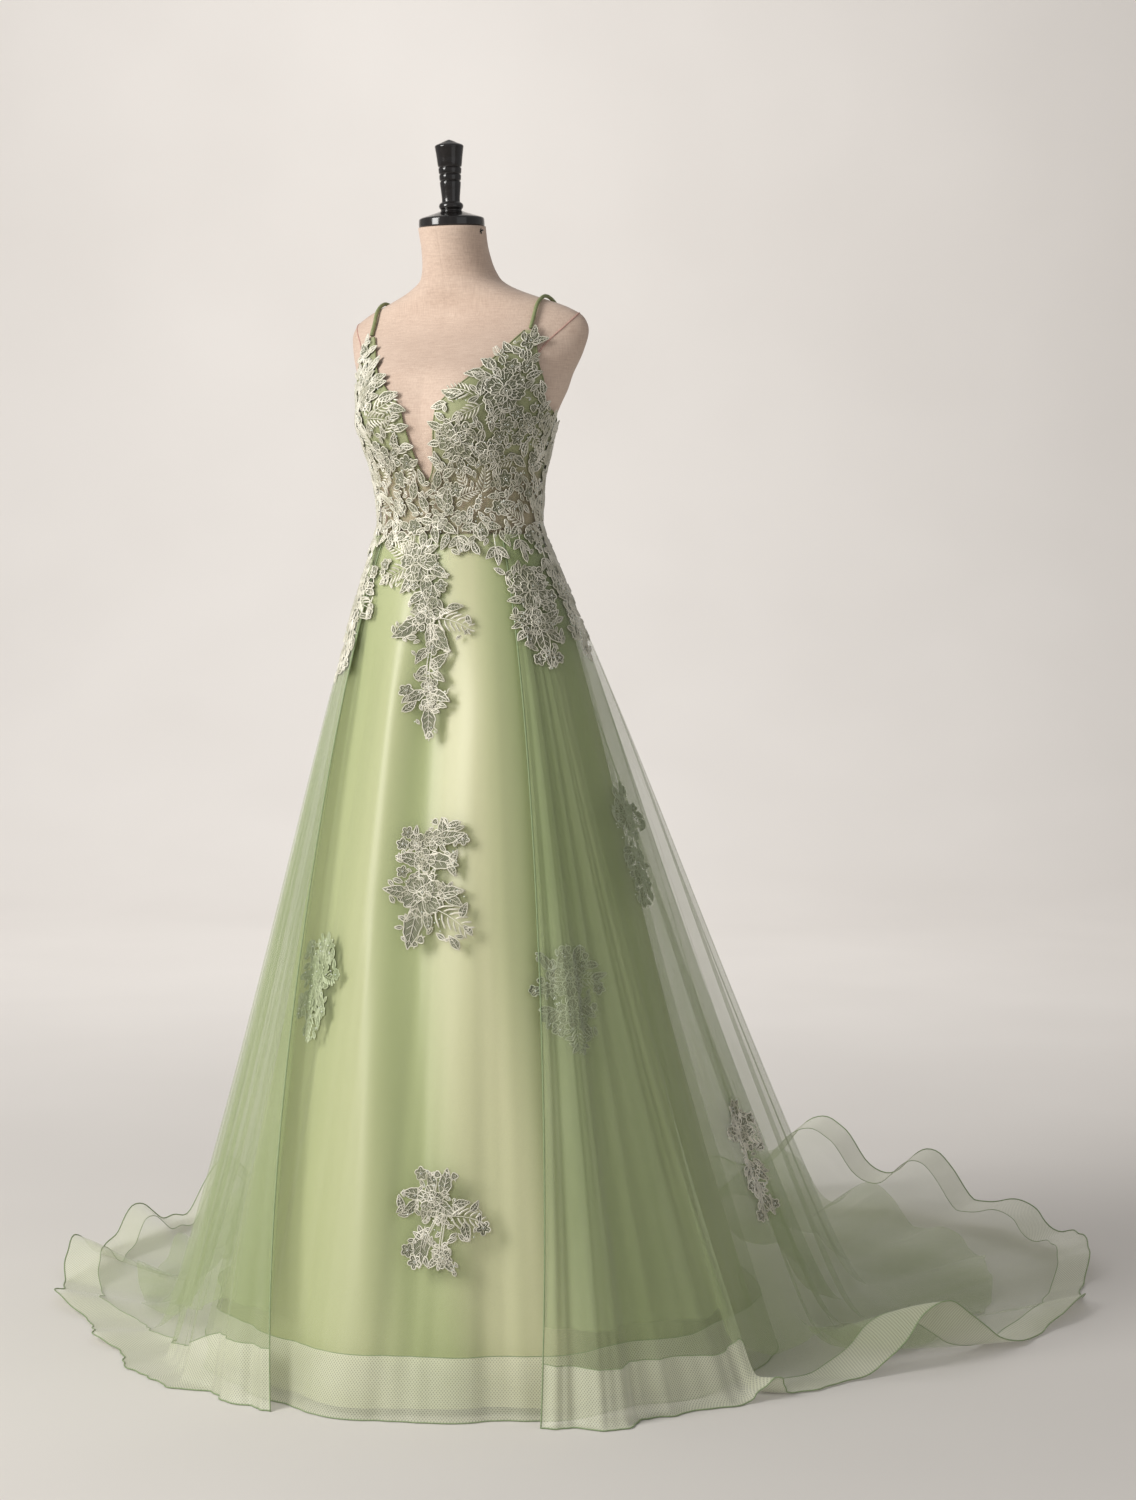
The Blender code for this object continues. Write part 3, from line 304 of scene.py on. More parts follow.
# Appliques on the skirts: node, middle's angle, motifs
APPLIQUES = (
    ("lace_centre_cascade", 4.0, CASCADE),
    ("lace_hip_left", 70.0, HIP_LEFT),
    ("lace_hip_right", -62.0, HIP_RIGHT),
    ("lace_mid_front", 13.9, MID_FRONT),
    ("lace_lower_front", 21.5, LOWER_FRONT),
)

# Places in the bodice lace kept bare: distance round from the centre front, height, half length
BODICE_WINDOWS = (
    (0.045, 1.238, 0.010),
    (0.118, 1.233, 0.009),
    (0.180, 1.240, 0.010),
    (0.024, 1.266, 0.009),
    (0.140, 1.268, 0.010),
)
BACK_WINDOWS = (
    (0.250, 1.330, 0.011),
    (0.308, 1.290, 0.011),
    (0.390, 1.266, 0.009),
)

# Lower leafy edge of the bodice lace, from the centre front to the side seam: distance round, height
FRINGE_LEFT = (
    (0.018, 1.2175),
    (0.034, 1.210),
    (0.046, 1.190),
    (0.056, 1.208),
    (0.070, 1.202),
    (0.084, 1.212),
    (0.096, 1.188),
    (0.103, 1.170),
    (0.112, 1.190),
    (0.126, 1.208),
    (0.140, 1.200),
    (0.148, 1.183),
    (0.158, 1.203),
    (0.176, 1.196),
    (0.190, 1.172),
    (0.197, 1.150),
    (0.205, 1.176),
    (0.2130, 1.200),
)
FRINGE_RIGHT = (
    (0.020, 1.2175),
    (0.060, 1.2170),
    (0.100, 1.2170),
    (0.112, 1.210),
    (0.122, 1.192),
    (0.132, 1.210),
    (0.148, 1.203),
    (0.158, 1.190),
    (0.168, 1.206),
    (0.186, 1.198),
    (0.196, 1.182),
    (0.204, 1.200),
    (0.2130, 1.205),
)
FRINGE_BACK = (
    (0.2155, 1.205),
    (0.228, 1.192),
    (0.238, 1.170),
    (0.250, 1.198),
    (0.272, 1.206),
    (0.286, 1.184),
    (0.300, 1.206),
    (0.322, 1.200),
    (0.336, 1.172),
    (0.350, 1.202),
    (0.376, 1.206),
    (0.392, 1.186),
    (0.410, 1.206),
)
LACE_ROUND = 0.135
LACE_STEP = 0.014


class Curve:
    """Smooth values between the rows of a table, with no overshoot."""

    def __init__(self, rows):
        self.keys = [row[0] for row in rows]
        self.columns = []
        for column in list(zip(*rows))[1:]:
            steps = [
                (column[i + 1] - column[i]) / (self.keys[i + 1] - self.keys[i])
                for i in range(len(column) - 1)
            ]
            inner = [0.0 if a * b <= 0 else 2 * a * b / (a + b) for a, b in zip(steps, steps[1:])]
            self.columns.append((column, [steps[0]] + inner + [steps[-1]]))

    def __call__(self, key):
        key = min(max(key, self.keys[0]), self.keys[-1])
        i = 0
        while i < len(self.keys) - 2 and key > self.keys[i + 1]:
            i += 1
        span = self.keys[i + 1] - self.keys[i]
        t = (key - self.keys[i]) / span
        found = []
        for values, slopes in self.columns:
            found.append(
                values[i] * (1 + 2 * t) * (1 - t) ** 2
                + slopes[i] * span * t * (1 - t) ** 2
                + values[i + 1] * t * t * (3 - 2 * t)
                - slopes[i + 1] * span * t * t * (1 - t)
            )
        return found


FORM = Curve(FORM_ROWS)
SHOULDER = Curve(SHOULDER_ROWS)
NECK = Curve(NECK_ROWS)
ARMHOLE = Curve(ARMHOLE_ROWS)
SKIRT = Curve(SKIRT_ROWS)
OVERLAY = Curve(OVERLAY_ROWS)


def heading(point):
    """Angle of a point round the body, in degrees from the front, 0 to 360."""
    return math.degrees(math.atan2(point.x, -point.y)) % 360.0


def polar(angle, radius, z):
    turn = math.radians(angle)
    return Vector((radius * math.sin(turn), -radius * math.cos(turn), z))


def bump(angle, centre, width):
    """1 at the centre, 0 at half a width away, round the circle."""
    away = abs((angle - centre + 180.0) % 360.0 - 180.0) / width
    return math.cos(math.pi * away) ** 2 if away < 0.5 else 0.0


def normal_of(surface, a, b, step_a=0.5, step_b=0.002):
    """Outward normal where the first coordinate runs round the body and the second runs up."""
    across = surface(a + step_a, b) - surface(a - step_a, b)
    along = surface(a, b + step_b) - surface(a, b - step_b)
    return across.cross(along).normalized()


def form_point(angle, z):
    """Point on the dress form, with its bust and its shoulder ends."""
    half, front, back, centre, lean = FORM(z)
    turn = math.radians(angle)
    x = half * math.sin(turn)
    cosine = math.cos(turn)
    y = centre - (front if cosine > 0 else back) * cosine
    if cosine > 0:
        beside = (abs(x) - BUST_X) / BUST_SPREAD_X
        above = (z - BUST_Z) / BUST_SPREAD_Z
        y -= BUST_OUT * math.exp(-beside * beside - above * above) * min(1.0, 2 * cosine)
    away = abs(abs((angle + 180.0) % 360.0 - 180.0) - SHOULDER_ANGLE) / SHOULDER_WIDTH
    if away < 1.0:
        x += math.copysign(SHOULDER(z)[0] * (1 - away) ** 2 * (1 + 2 * away), x)
    return Vector((x, y, z + (y - centre) * lean))


def off_form(angle, z, gap):
    return form_point(angle, z) + normal_of(form_point, angle, z) * gap


def front_edge_angle(z):
    """Where the front panel begins: the centre front seam, then the neckline."""
    half = FORM(z)[0]
    edge = NECK(z)[0] if z > V_BOTTOM_Z else 0.0
    return math.degrees(math.asin(min(1.0, max(edge, SEAM_GAP / 2) / half)))


def back_top(angle):
    """Height of the low back's edge, from the underarm down to the centre back."""
    t = min(1.0, max(0.0, (angle - 91.0) / 89.0))
    return UNDERARM_Z - (UNDERARM_Z - CENTRE_BACK_Z) * math.sin(math.pi / 2 * t) ** 1.6


def profile(t):
    """How far out a skirt stands at a share t of its drop, from 0 at the waist to 1 at the floor."""
    return t + HIP_FULLNESS * t * max(0.0, 1 - t) ** 4


def flutes(angle):
    """How far the underskirts' flutes and creases stand out at an angle."""
    return sum(out * bump(angle, centre, width) for centre, width, out in FLUTE_ROWS)


def waist_point(angle, gap):
    flat = normal_of(form_point, angle, WAIST_Z)
    flat.z = 0.0
    return form_point(angle, WAIST_Z) + flat.normalized() * gap


def skirt_point(angle, z, seat, extra, depth):
    """Inside of an underskirt: seat off the form at the waist, extra radius at the hem, depth of flutes."""
    t = (WAIST_Z - z) / WAIST_Z
    top = waist_point(angle, seat)
    radius = SKIRT(angle % 360.0)[0] + extra
    hem = polar(angle, radius, 0.0)
    reach = profile(t)
    out = polar(angle, depth * flutes(angle) * t * t, 0.0)
    return Vector((top.x + (hem.x - top.x) * reach + out.x, top.y + (hem.y - top.y) * reach + out.y, z))


def satin_point(angle, z):
    return skirt_point(angle, z, SATIN_SEAT, 0.0, 1.0)


def tulle_point(angle, z):
    return skirt_point(angle, z, TULLE_SEAT, TULLE_OUT, 0.85)


def overlay_point(angle, q):
    """Inside of the overlay. q is 0 at the waist and 1 where the cone would meet the floor."""
    waist_angle, cone, hem_radius = OVERLAY(angle)
    top = waist_point(waist_angle, OVERLAY_SEAT)
    near = math.hypot(top.x, top.y)
    first = heading(top)
    last_q = (hem_radius - near) / (cone - near)
    bend = min(FLOOR_BEND, 0.25 * (hem_radius - cone))
    height = WAIST_Z - SEAM_GAP - FLOOR_GAP
    line = (height - bend * bend / height) * (1 - q)
    z = FLOOR_GAP + 0.5 * (line + math.sqrt(line * line + 4 * bend * bend))
    radius = near + (cone - near) * profile(q)
    along = q / last_q
    turn = first + (angle - first) * along ** TURN_LATE
    weight = max(0.0, (q - FOLD_START) / (1 - FOLD_START))
    rise = max(0.0, min(1.0, (along - LIFT_START) / (1.0 - LIFT_START)))
    for centre, width, out, pleat, lift in FOLD_ROWS:
        away = (angle - centre) / width
        if abs(away) >= 0.5:
            continue
        swell = math.cos(math.pi * away) ** 2
        radius += out * swell * min(weight, 1.0)
        z += lift * swell * rise * rise * (3 - 2 * rise)
        if pleat:
            swing = math.sin(2 * math.pi * away) * min(weight, 1.0) ** PLEAT_RISE
            radius -= PLEAT_OUT * pleat * swing
            turn -= math.degrees(pleat * swing / max(radius, 0.1))
    return polar(turn, radius, z)


def overlay_end(angle):
    """q at the hem."""
    waist_angle, cone, hem_radius = OVERLAY(angle)
    top = waist_point(waist_angle, OVERLAY_SEAT)
    near = math.hypot(top.x, top.y)
    return (hem_radius - near) / (cone - near)


def overlay_strip(angle, shares, lengths):
    """One column's points from the hem up: lengths above the hem in the braid, then shares of the panel."""
    steps = 90
    end = overlay_end(angle)
    line = [overlay_point(angle, end * s / steps) for s in range(steps + 1)]
    runs = [0.0]
    for a, b in zip(line, line[1:]):
        runs.append(runs[-1] + (b - a).length)
    panel = runs[-1] - BRAID_WIDTH - SEAM_GAP
    found = []
    for target in [runs[-1] - up for up in lengths] + [panel * share for share in shares]:
        i = 0
        while i < steps - 1 and runs[i + 1] < target:
            i += 1
        t = (target - runs[i]) / (runs[i + 1] - runs[i])
        found.append(line[i].lerp(line[i + 1], t))
    return found


def inside(point, outline):
    """Whether a flat point is inside a closed outline."""
    found = False
    for a, b in zip(outline, outline[1:] + outline[:1]):
        if (a.y > point.y) != (b.y > point.y):
            if point.x < a.x + (b.x - a.x) * (point.y - a.y) / (b.y - a.y):
                found = not found
    return found


def outermost(tree, turn, z, spread):
    """Point on the outermost skirt at a heading and height, the furthest out of three spread round it."""
    reach = 0.0
    for way in (turn - spread, turn, turn + spread):
        away = polar(way, 1.0, 0.0)
        hit = tree.ray_cast(away * 0.9 + Vector((0.0, 0.0, z)), -away)[0]
        reach = max(reach, math.hypot(hit.x, hit.y))
    return polar(turn, reach, z)


def skirt_seat(tree, turn, z, spread, gap):
    """Point just off the outermost skirt, and the normal there."""
    point = outermost(tree, turn, z, spread)
    across = outermost(tree, turn + 2.0, z, spread) - outermost(tree, turn - 2.0, z, spread)
    normal = across.cross(point - outermost(tree, turn, z - 0.008, spread)).normalized()
    return point + normal * gap, normal


def bodice_seat(tree, flat):
    """Point just off the bodice or, below the waist seam, just off the skirts."""
    angle = math.degrees(flat.x / LACE_ROUND)
    z = flat.y
    low = OVERLAY_SEAT + TULLE_WALL
    high = FORM_GAP + MESH_WALL
    if z < WAIST_Z - LAYER_GAP:
        spread = 3.0 * min(1.0, (WAIST_Z - z) / LACE_STEP)
        return skirt_seat(tree, heading(waist_point(angle, low)), z, spread, LACE_GAP)
    share = min(1.0, max(0.0, (z - WAIST_Z - 0.002) / LACE_STEP))
    normal = normal_of(form_point, angle, z)
    return form_point(angle, z) + normal * (low + (high - low) * share + LACE_GAP), normal


# Finer creases of the overlay: hem's angle, width, how far out, lift
CREASE_ROWS = (
    (45.4, 3.6, 0.005, 0.0),
    (49.5, 4.0, -0.005, 0.0),
    (53.0, 3.0, 0.004, 0.0),
    (58.2, 4.6, 0.006, 0.0),
    (62.5, 3.4, -0.005, 0.0),
    (68.5, 5.0, 0.006, 0.0),
    (72.6, 3.6, -0.004, 0.0),
    (77.0, 4.4, 0.006, 0.0),
    (81.5, 3.4, -0.005, 0.0),
    (87.5, 5.0, 0.004, 0.0),
    (92.4, 3.2, -0.004, 0.0),
    (97.0, 4.6, 0.008, 0.0),
    (101.4, 4.0, -0.006, 0.0),
    (106.0, 4.0, 0.006, 0.0),
    (112.5, 5.0, -0.006, 0.0),
    (117.6, 4.6, 0.009, 0.004),
    (123.0, 4.0, -0.006, 0.0),
    (129.5, 5.0, 0.008, 0.006),
    (134.5, 4.4, -0.008, 0.0),
    (139.0, 3.8, 0.006, 0.010),
    (146.5, 5.0, 0.010, 0.008),
    (149.6, 3.2, -0.006, 0.0),
    (156.4, 4.4, 0.008, 0.0),
    (160.0, 3.4, -0.006, 0.012),
    (167.5, 4.6, 0.009, 0.0),
    (171.0, 3.0, -0.005, 0.010),
    (177.6, 4.6, 0.008, 0.0),
    (183.0, 4.0, -0.008, 0.014),
    (187.2, 3.4, 0.006, 0.0),
    (193.0, 5.2, 0.010, 0.010),
    (198.4, 3.6, -0.007, 0.0),
    (204.5, 4.4, 0.007, 0.012),
    (209.6, 4.0, -0.006, 0.0),
    (214.0, 4.6, 0.009, 0.010),
    (220.5, 3.8, -0.007, 0.0),
    (226.0, 4.6, 0.008, 0.012),
    (232.5, 4.0, -0.006, 0.0),
    (238.0, 4.6, 0.008, 0.010),
    (243.2, 3.4, -0.006, 0.0),
    (249.5, 4.6, 0.007, 0.008),
    (255.0, 3.6, -0.005, 0.0),
    (261.0, 4.4, 0.006, 0.006),
    (266.5, 3.8, -0.005, 0.0),
    (271.5, 4.0, 0.005, 0.0),
    (277.5, 4.4, -0.006, 0.0),
    (283.0, 3.8, 0.005, 0.0),
    (289.0, 4.4, 0.005, 0.0),
    (294.5, 3.8, -0.005, 0.0),
    (300.5, 4.0, 0.005, 0.0),
    (307.0, 4.2, -0.005, 0.0),
    (312.5, 3.6, 0.004, 0.0),
    (319.0, 4.0, 0.005, 0.0),
    (325.0, 3.4, -0.004, 0.0),
    (331.0, 4.2, 0.005, 0.0),
    (338.5, 4.0, -0.004, 0.0),
    (342.5, 3.0, 0.004, 0.0),
)

# Soft rises between the train's main folds, which keep its outline low and even: angle, width, lift
RISE_ROWS = (
    (147.5, 12.0, 0.022),
    (157.5, 12.0, 0.040),
    (168.5, 12.0, 0.060),
    (181.0, 14.0, 0.050),
    (195.5, 14.0, 0.026),
    (210.5, 12.0, 0.024),
)
FOLD_ROWS += tuple((angle, width, out, 0.0, lift) for angle, width, out, lift in CREASE_ROWS)
FOLD_ROWS += tuple((angle, width, 0.0, 0.0, lift) for angle, width, lift in RISE_ROWS)

# Finer creases of the underskirts: angle, width, how far out at the hem
SKIRT_CREASES = (
    (-31.0, 9.0, 0.004),
    (-17.0, 7.0, -0.003),
    (-9.0, 6.0, 0.002),
    (8.0, 7.0, -0.003),
    (17.0, 6.0, 0.002),
    (33.0, 8.0, -0.003),
    (41.0, 7.0, 0.003),
    (57.0, 9.0, 0.004),
    (70.0, 9.0, -0.004),
    (98.0, 10.0, 0.005),
    (112.0, 9.0, -0.004),
    (138.0, 10.0, 0.005),
    (152.0, 8.0, -0.004),
    (176.0, 9.0, 0.004),
    (189.0, 8.0, -0.004),
    (216.0, 10.0, 0.005),
    (228.0, 8.0, -0.004),
    (254.0, 10.0, 0.005),
    (266.0, 8.0, -0.003),
    (290.0, 9.0, 0.004),
    (302.0, 7.0, -0.003),
    (320.0, 8.0, 0.003),
)
FLUTE_ROWS += SKIRT_CREASES

# Deep folds of the underskirts: angle at the hem, angle at the knee, reach to either side, how deep
SATIN_FOLDS = (
    (-28.0, -34.0, 14.0, 20.0, 0.015),
    (26.0, 6.0, 20.0, 36.0, 0.029),
    (68.0, 76.0, 20.0, 15.0, 0.030),
    (92.0, 94.0, 16.0, 16.0, 0.018),
    (124.0, 122.0, 14.0, 16.0, 0.016),
    (156.0, 154.0, 16.0, 14.0, 0.018),
    (188.0, 186.0, 16.0, 18.0, 0.015),
    (222.0, 218.0, 16.0, 14.0, 0.018),
    (256.0, 252.0, 14.0, 18.0, 0.016),
    (290.0, 286.0, 18.0, 16.0, 0.019),
    (318.0, 312.0, 12.0, 16.0, 0.012),
)
SATIN_FOLD_TOP = 1.19
SATIN_FOLD_DROP = 0.25
KNEE_Z = 0.68
SATIN_LEAN = math.radians(20.0)
TULLE_SHARE = 0.6

# The overlay's inner ply: rows it stops short of the seam, how much of the way out it hangs
PLY_START = 5
PLY_NEAR = 0.42
PLY_FAR = 0.66
PLY_AT_SEAM = 0.985


def fold_depth(angle, z):
    """How deep the folds are, which lean a little between the knee and the hem."""
    share = max(0.0, min(1.0, (SATIN_FOLD_TOP - z) / SATIN_FOLD_DROP))
    deep = 0.0
    for hem, knee, before, after, depth in SATIN_FOLDS:
        centre = hem + (knee - hem) * min(1.0, z / KNEE_Z)
        away = (angle - centre + 180.0) % 360.0 - 180.0
        reach = before if away < 0 else after
        if abs(away) < reach:
            deep += depth * math.cos(math.pi / 2 * away / reach) ** 2
    return deep * share * share * (3 - 2 * share)


def folded_satin(angle, z):
    return satin_point(angle, z) + polar(angle, -fold_depth(angle, z), 0.0)


def folded_tulle(angle, z):
    return tulle_point(angle, z) + polar(angle, -TULLE_SHARE * fold_depth(angle, z), 0.0)


# Materials


class Look:
    """A material's nodes, with short ways to add and join them."""

    def __init__(self, name, roughness=0.5):
        self.material = bpy.data.materials.new(name)
        self.material.use_nodes = True
        self.tree = self.material.node_tree
        self.shader = self.tree.nodes["Principled BSDF"]
        self.shader.inputs["Roughness"].default_value = roughness

    def node(self, kind, **values):
        made = self.tree.nodes.new(kind)
        for key, value in values.items():
            if key in made.inputs:
                made.inputs[key].default_value = value
            else:
                setattr(made, key, value)
        return made

    def join(self, a, out, b, into):
        self.tree.links.new(a.outputs[out], b.inputs[into])

    def ramp(self, source, out, stops):
        ramp = self.node("ShaderNodeValToRGB")
        while len(ramp.color_ramp.elements) < len(stops):
            ramp.color_ramp.elements.new(0.5)
        for element, (place, colour) in zip(ramp.color_ramp.elements, stops):
            element.position = place
            element.color = (*colour, 1.0) if len(colour) == 3 else colour
        self.join(source, out, ramp, "Fac")
        return ramp

    def bump(self, source, out, strength, distance):
        bump = self.node("ShaderNodeBump", Strength=strength, Distance=distance)
        self.join(source, out, bump, "Height")
        self.join(bump, "Normal", self.shader, "Normal")

    def colour(self, source, out, stops):
        """The base colour along a ramp."""
        self.join(self.ramp(source, out, stops), "Color", self.shader, "Base Color")

    def scaled(self, source, out, factor):
        made = self.node("ShaderNodeMath", operation="MULTIPLY")
        self.join(source, out, made, 0)
        made.inputs[1].default_value = factor
        return made

    def ranged(self, source, out, *ends):
        """A value mapped from its own two ends to two others."""
        made = self.node("ShaderNodeMapRange")
        for key, value in zip(("From Min", "From Max", "To Min", "To Max"), ends):
            made.inputs[key].default_value = value
        self.join(source, out, made, "Value")
        return made

    def coordinates(self, kind, scale=(1.0, 1.0, 1.0), turn=(0.0, 0.0, 0.0)):
        place = self.node("ShaderNodeTexCoord")
        mapping = self.node("ShaderNodeMapping", Scale=scale, Rotation=turn)
        self.join(place, kind, mapping, "Vector")
        return mapping


def grey(value):
    return (value, value, value)


def noise(look, mapping, scale, detail=3.0):
    found = look.node("ShaderNodeTexNoise", Scale=scale, Detail=detail)
    look.join(mapping, "Vector", found, "Vector")
    return found


def waves(look, mapping, scale, direction="X", distortion=0.0):
    found = look.node("ShaderNodeTexWave", Scale=scale, Distortion=distortion)
    found.bands_direction = direction
    look.join(mapping, "Vector", found, "Vector")
    return found


def combine(look, a, out_a, b, out_b, operation):
    found = look.node("ShaderNodeMath", operation=operation)
    look.tree.links.new(a.outputs[out_a], found.inputs[0])
    look.tree.links.new(b.outputs[out_b], found.inputs[1])
    return found


def look_linen():
    """Plain woven linen: slubs one way, finer threads the other."""
    look = Look("linen_look", 0.9)
    space = look.coordinates("Object")
    patches = noise(look, space, 9.0)
    slubs = noise(look, look.coordinates("Object", (60.0, 60.0, 900.0)), 1.0, 4.0)
    cross = noise(look, look.coordinates("Object", (700.0, 700.0, 50.0)), 1.0, 4.0)
    threads = combine(look, slubs, "Fac", cross, "Fac", "ADD")
    mixed = combine(look, threads, "Value", patches, "Fac", "ADD")
    scaled = look.scaled(mixed, "Value", 0.333)
    look.colour(scaled, "Value", ((0.36, (0.54, 0.395, 0.31)), (0.62, (0.735, 0.575, 0.465))))
    look.bump(threads, "Value", 0.35, 0.0006)
    look.shader.inputs["Sheen Weight"].default_value = 0.15
    return look.material


def look_gloss():
    """Glossy black paint of the neck cap and knob."""
    look = Look("turned_gloss", 0.13)
    grain = noise(look, look.coordinates("Object", (40.0, 40.0, 6.0)), 3.0)
    look.colour(grain, "Fac", ((0.3, (0.006, 0.005, 0.005)), (0.75, (0.016, 0.013, 0.012))))
    rough = look.ramp(grain, "Fac", ((0.3, grey(0.10)), (0.8, grey(0.19))))
    look.join(rough, "Color", look.shader, "Roughness")
    look.shader.inputs["Coat Weight"].default_value = 0.4
    return look.material


def look_iron():
    """Black painted iron of the stand."""
    look = Look("painted_iron", 0.4)
    grain = noise(look, look.coordinates("Object"), 60.0)
    look.colour(grain, "Fac", ((0.3, grey(0.03)), (0.8, grey(0.055))))
    look.bump(grain, "Fac", 0.1, 0.001)
    return look.material


# Painted highlight and painted shade round the satin skirt, a creamy painted highlight on its rises and a
# green painted shade in its folds: heading, how creamy
SATIN_PAINTED_LIGHT = (
    (-170.0, 0.4),
    (-140.0, 0.1),
    (-124.0, 0.5),
    (-106.0, 0.1),
    (-90.0, 0.5),
    (-72.0, 0.1),
    (-48.0, 0.3),
    (-30.0, 0.4),
    (-14.0, 0.55),
    (-2.0, 0.12),
    (7.0, 0.2),
    (19.0, 0.9),
    (35.0, 1.0),
    (46.0, 0.5),
    (58.0, 0.0),
    (78.0, 0.0),
    (88.0, 0.4),
    (96.0, 0.1),
    (108.0, 0.5),
    (122.0, 0.1),
    (138.0, 0.5),
    (154.0, 0.1),
    (170.0, 0.4),
)
# Colours of the painted shade in the folds and of the painted highlight on the rises
SATIN_SHADE_GREEN = (0.43, 0.495, 0.22)
SATIN_HIGHLIGHT_CREAM = (0.75, 0.715, 0.47)
HIGHLIGHT_WANDER = 0.08


def look_satin():
    """Satin with bands of creamy painted highlight and green painted shade round the skirt, which lean a
    little below the knee.
    """
    look = Look("sage_satin", 0.41)
    space = look.coordinates("Object")
    split = look.node("ShaderNodeSeparateXYZ")
    look.join(space, "Vector", split, "Vector")
    ahead = look.scaled(split, "Y", -1.0)
    heading_of = combine(look, split, "X", ahead, "Value", "ARCTAN2")
    lean = look.ranged(split, "Z", 0.0, KNEE_Z, SATIN_LEAN, 0.0)
    straight = combine(look, heading_of, "Value", lean, "Result", "SUBTRACT")
    patches = noise(look, look.coordinates("Object", (1.0, 1.0, 0.25)), 5.0, 2.0)
    wander = look.node("ShaderNodeMath", operation="MULTIPLY_ADD")
    look.join(patches, "Fac", wander, 0)
    wander.inputs[1].default_value = 2 * HIGHLIGHT_WANDER
    look.join(straight, "Value", wander, 2)
    share = look.ranged(wander, "Value", HIGHLIGHT_WANDER - math.pi, HIGHLIGHT_WANDER + math.pi)
    # The base colour runs from the green painted shade to the creamy painted highlight round the skirt.
    stops = []
    for place, highlight_share in SATIN_PAINTED_LIGHT:
        colour = tuple(a + (b - a) * highlight_share for a, b in zip(SATIN_SHADE_GREEN, SATIN_HIGHLIGHT_CREAM))
        stops.append((place / 360.0 + 0.5, colour))
    look.colour(share, "Result", stops)
    threads = noise(look, look.coordinates("Object", (500.0, 500.0, 30.0)), 1.0)
    look.bump(threads, "Fac", 0.06, 0.0004)
    look.shader.inputs["Specular IOR Level"].default_value = 1.0
    look.shader.inputs["Specular Tint"].default_value = (1.0, 0.95, 0.90, 1.0)
    look.shader.inputs["Sheen Weight"].default_value = 0.35
    look.shader.inputs["Sheen Roughness"].default_value = 0.35
    look.shader.inputs["Sheen Tint"].default_value = (1.0, 0.96, 0.88, 1.0)
    return look.material


def look_net(name, low, high, thin, thick, hole):
    """Fine net: its threads and holes on the cloth, more or less dense in patches."""
    look = Look(name, 0.75)
    patches = noise(look, look.coordinates("Object", (1.0, 1.0, 0.3)), 6.0, 3.0)
    look.colour(patches, "Fac", ((0.3, low), (0.7, high)))
    cells = look.node("ShaderNodeTexVoronoi", Scale=1.0 / hole)
    look.join(look.coordinates("UV"), "Vector", cells, "Vector")
    dense = look.ramp(patches, "Fac", ((0.25, grey(thin)), (0.75, grey(thick))))
    spread = look.ramp(cells, "Distance", ((0.1, grey(0.88)), (0.7, grey(1.0))))
    alpha = combine(look, dense, "Color", spread, "Color", "MULTIPLY")
    look.join(alpha, "Value", look.shader, "Alpha")
    look.bump(cells, "Distance", 0.2, 0.0004)
    look.shader.inputs["Sheen Weight"].default_value = 0.5
    look.shader.inputs["Sheen Roughness"].default_value = 0.5
    return look.material


def look_braid():
    """Horsehair braid: stiff threads crossing on the bias."""
    look = Look("hair_braid", 0.45)
    patches = noise(look, look.coordinates("Object"), 7.0, 3.0)
    look.colour(patches, "Fac", ((0.3, (0.60, 0.62, 0.44)), (0.7, (0.73, 0.74, 0.57))))
    one = waves(look, look.coordinates("UV", turn=(0.0, 0.0, math.radians(40.0))), 95.0)
    two = waves(look, look.coordinates("UV", turn=(0.0, 0.0, math.radians(-40.0))), 95.0)
    most = combine(look, one, "Fac", two, "Fac", "MAXIMUM")
    alpha = look.ramp(most, "Value", ((0.35, grey(0.40)), (0.85, grey(0.76))))
    look.join(alpha, "Color", look.shader, "Alpha")
    look.bump(most, "Value", 0.4, 0.0006)
    look.shader.inputs["Sheen Weight"].default_value = 0.4
    return look.material


def look_mesh():
    """Sheer bodice mesh, lined over the bust and clearer in the waist."""
    look = Look("bodice_mesh", 0.7)
    space = look.coordinates("Object")
    patches = noise(look, space, 14.0)
    look.colour(patches, "Fac", ((0.3, (0.35, 0.385, 0.19)), (0.75, (0.44, 0.47, 0.25))))
    split = look.node("ShaderNodeSeparateXYZ")
    look.join(space, "Vector", split, "Vector")
    height = look.ranged(split, "Z", 1.285, 1.345, 0.36, 0.84)
    cells = look.node("ShaderNodeTexVoronoi", Scale=600.0)
    look.join(look.coordinates("UV"), "Vector", cells, "Vector")
    spread = look.ramp(cells, "Distance", ((0.1, grey(0.86)), (0.7, grey(1.0))))
    alpha = combine(look, height, "Result", spread, "Color", "MULTIPLY")
    look.join(alpha, "Value", look.shader, "Alpha")
    look.bump(cells, "Distance", 0.2, 0.0004)
    look.shader.inputs["Sheen Weight"].default_value = 0.3
    return look.material


def look_lace(name, dark, light, ground):
    """Machine embroidery: short satin stitches in rows, with the darker net between them."""
    look = Look(name, 0.55)
    plain = look.coordinates("UV")
    bent = noise(look, plain, 60.0, 2.0)
    rows = waves(look, look.coordinates("UV", turn=(0.0, 0.0, math.radians(35.0))), 150.0, "X", 7.0)
    rows.inputs["Detail"].default_value = 2.0
    rows.inputs["Detail Scale"].default_value = 0.6
    mixed = combine(look, rows, "Fac", bent, "Fac", "ADD")
    half = look.scaled(mixed, "Value", 0.5)
    look.colour(half, "Value", ((0.30, ground), (0.42, dark), (0.72, light)))
    look.bump(half, "Value", 0.7, 0.0012)
    look.shader.inputs["Sheen Weight"].default_value = 0.3
    return look.material


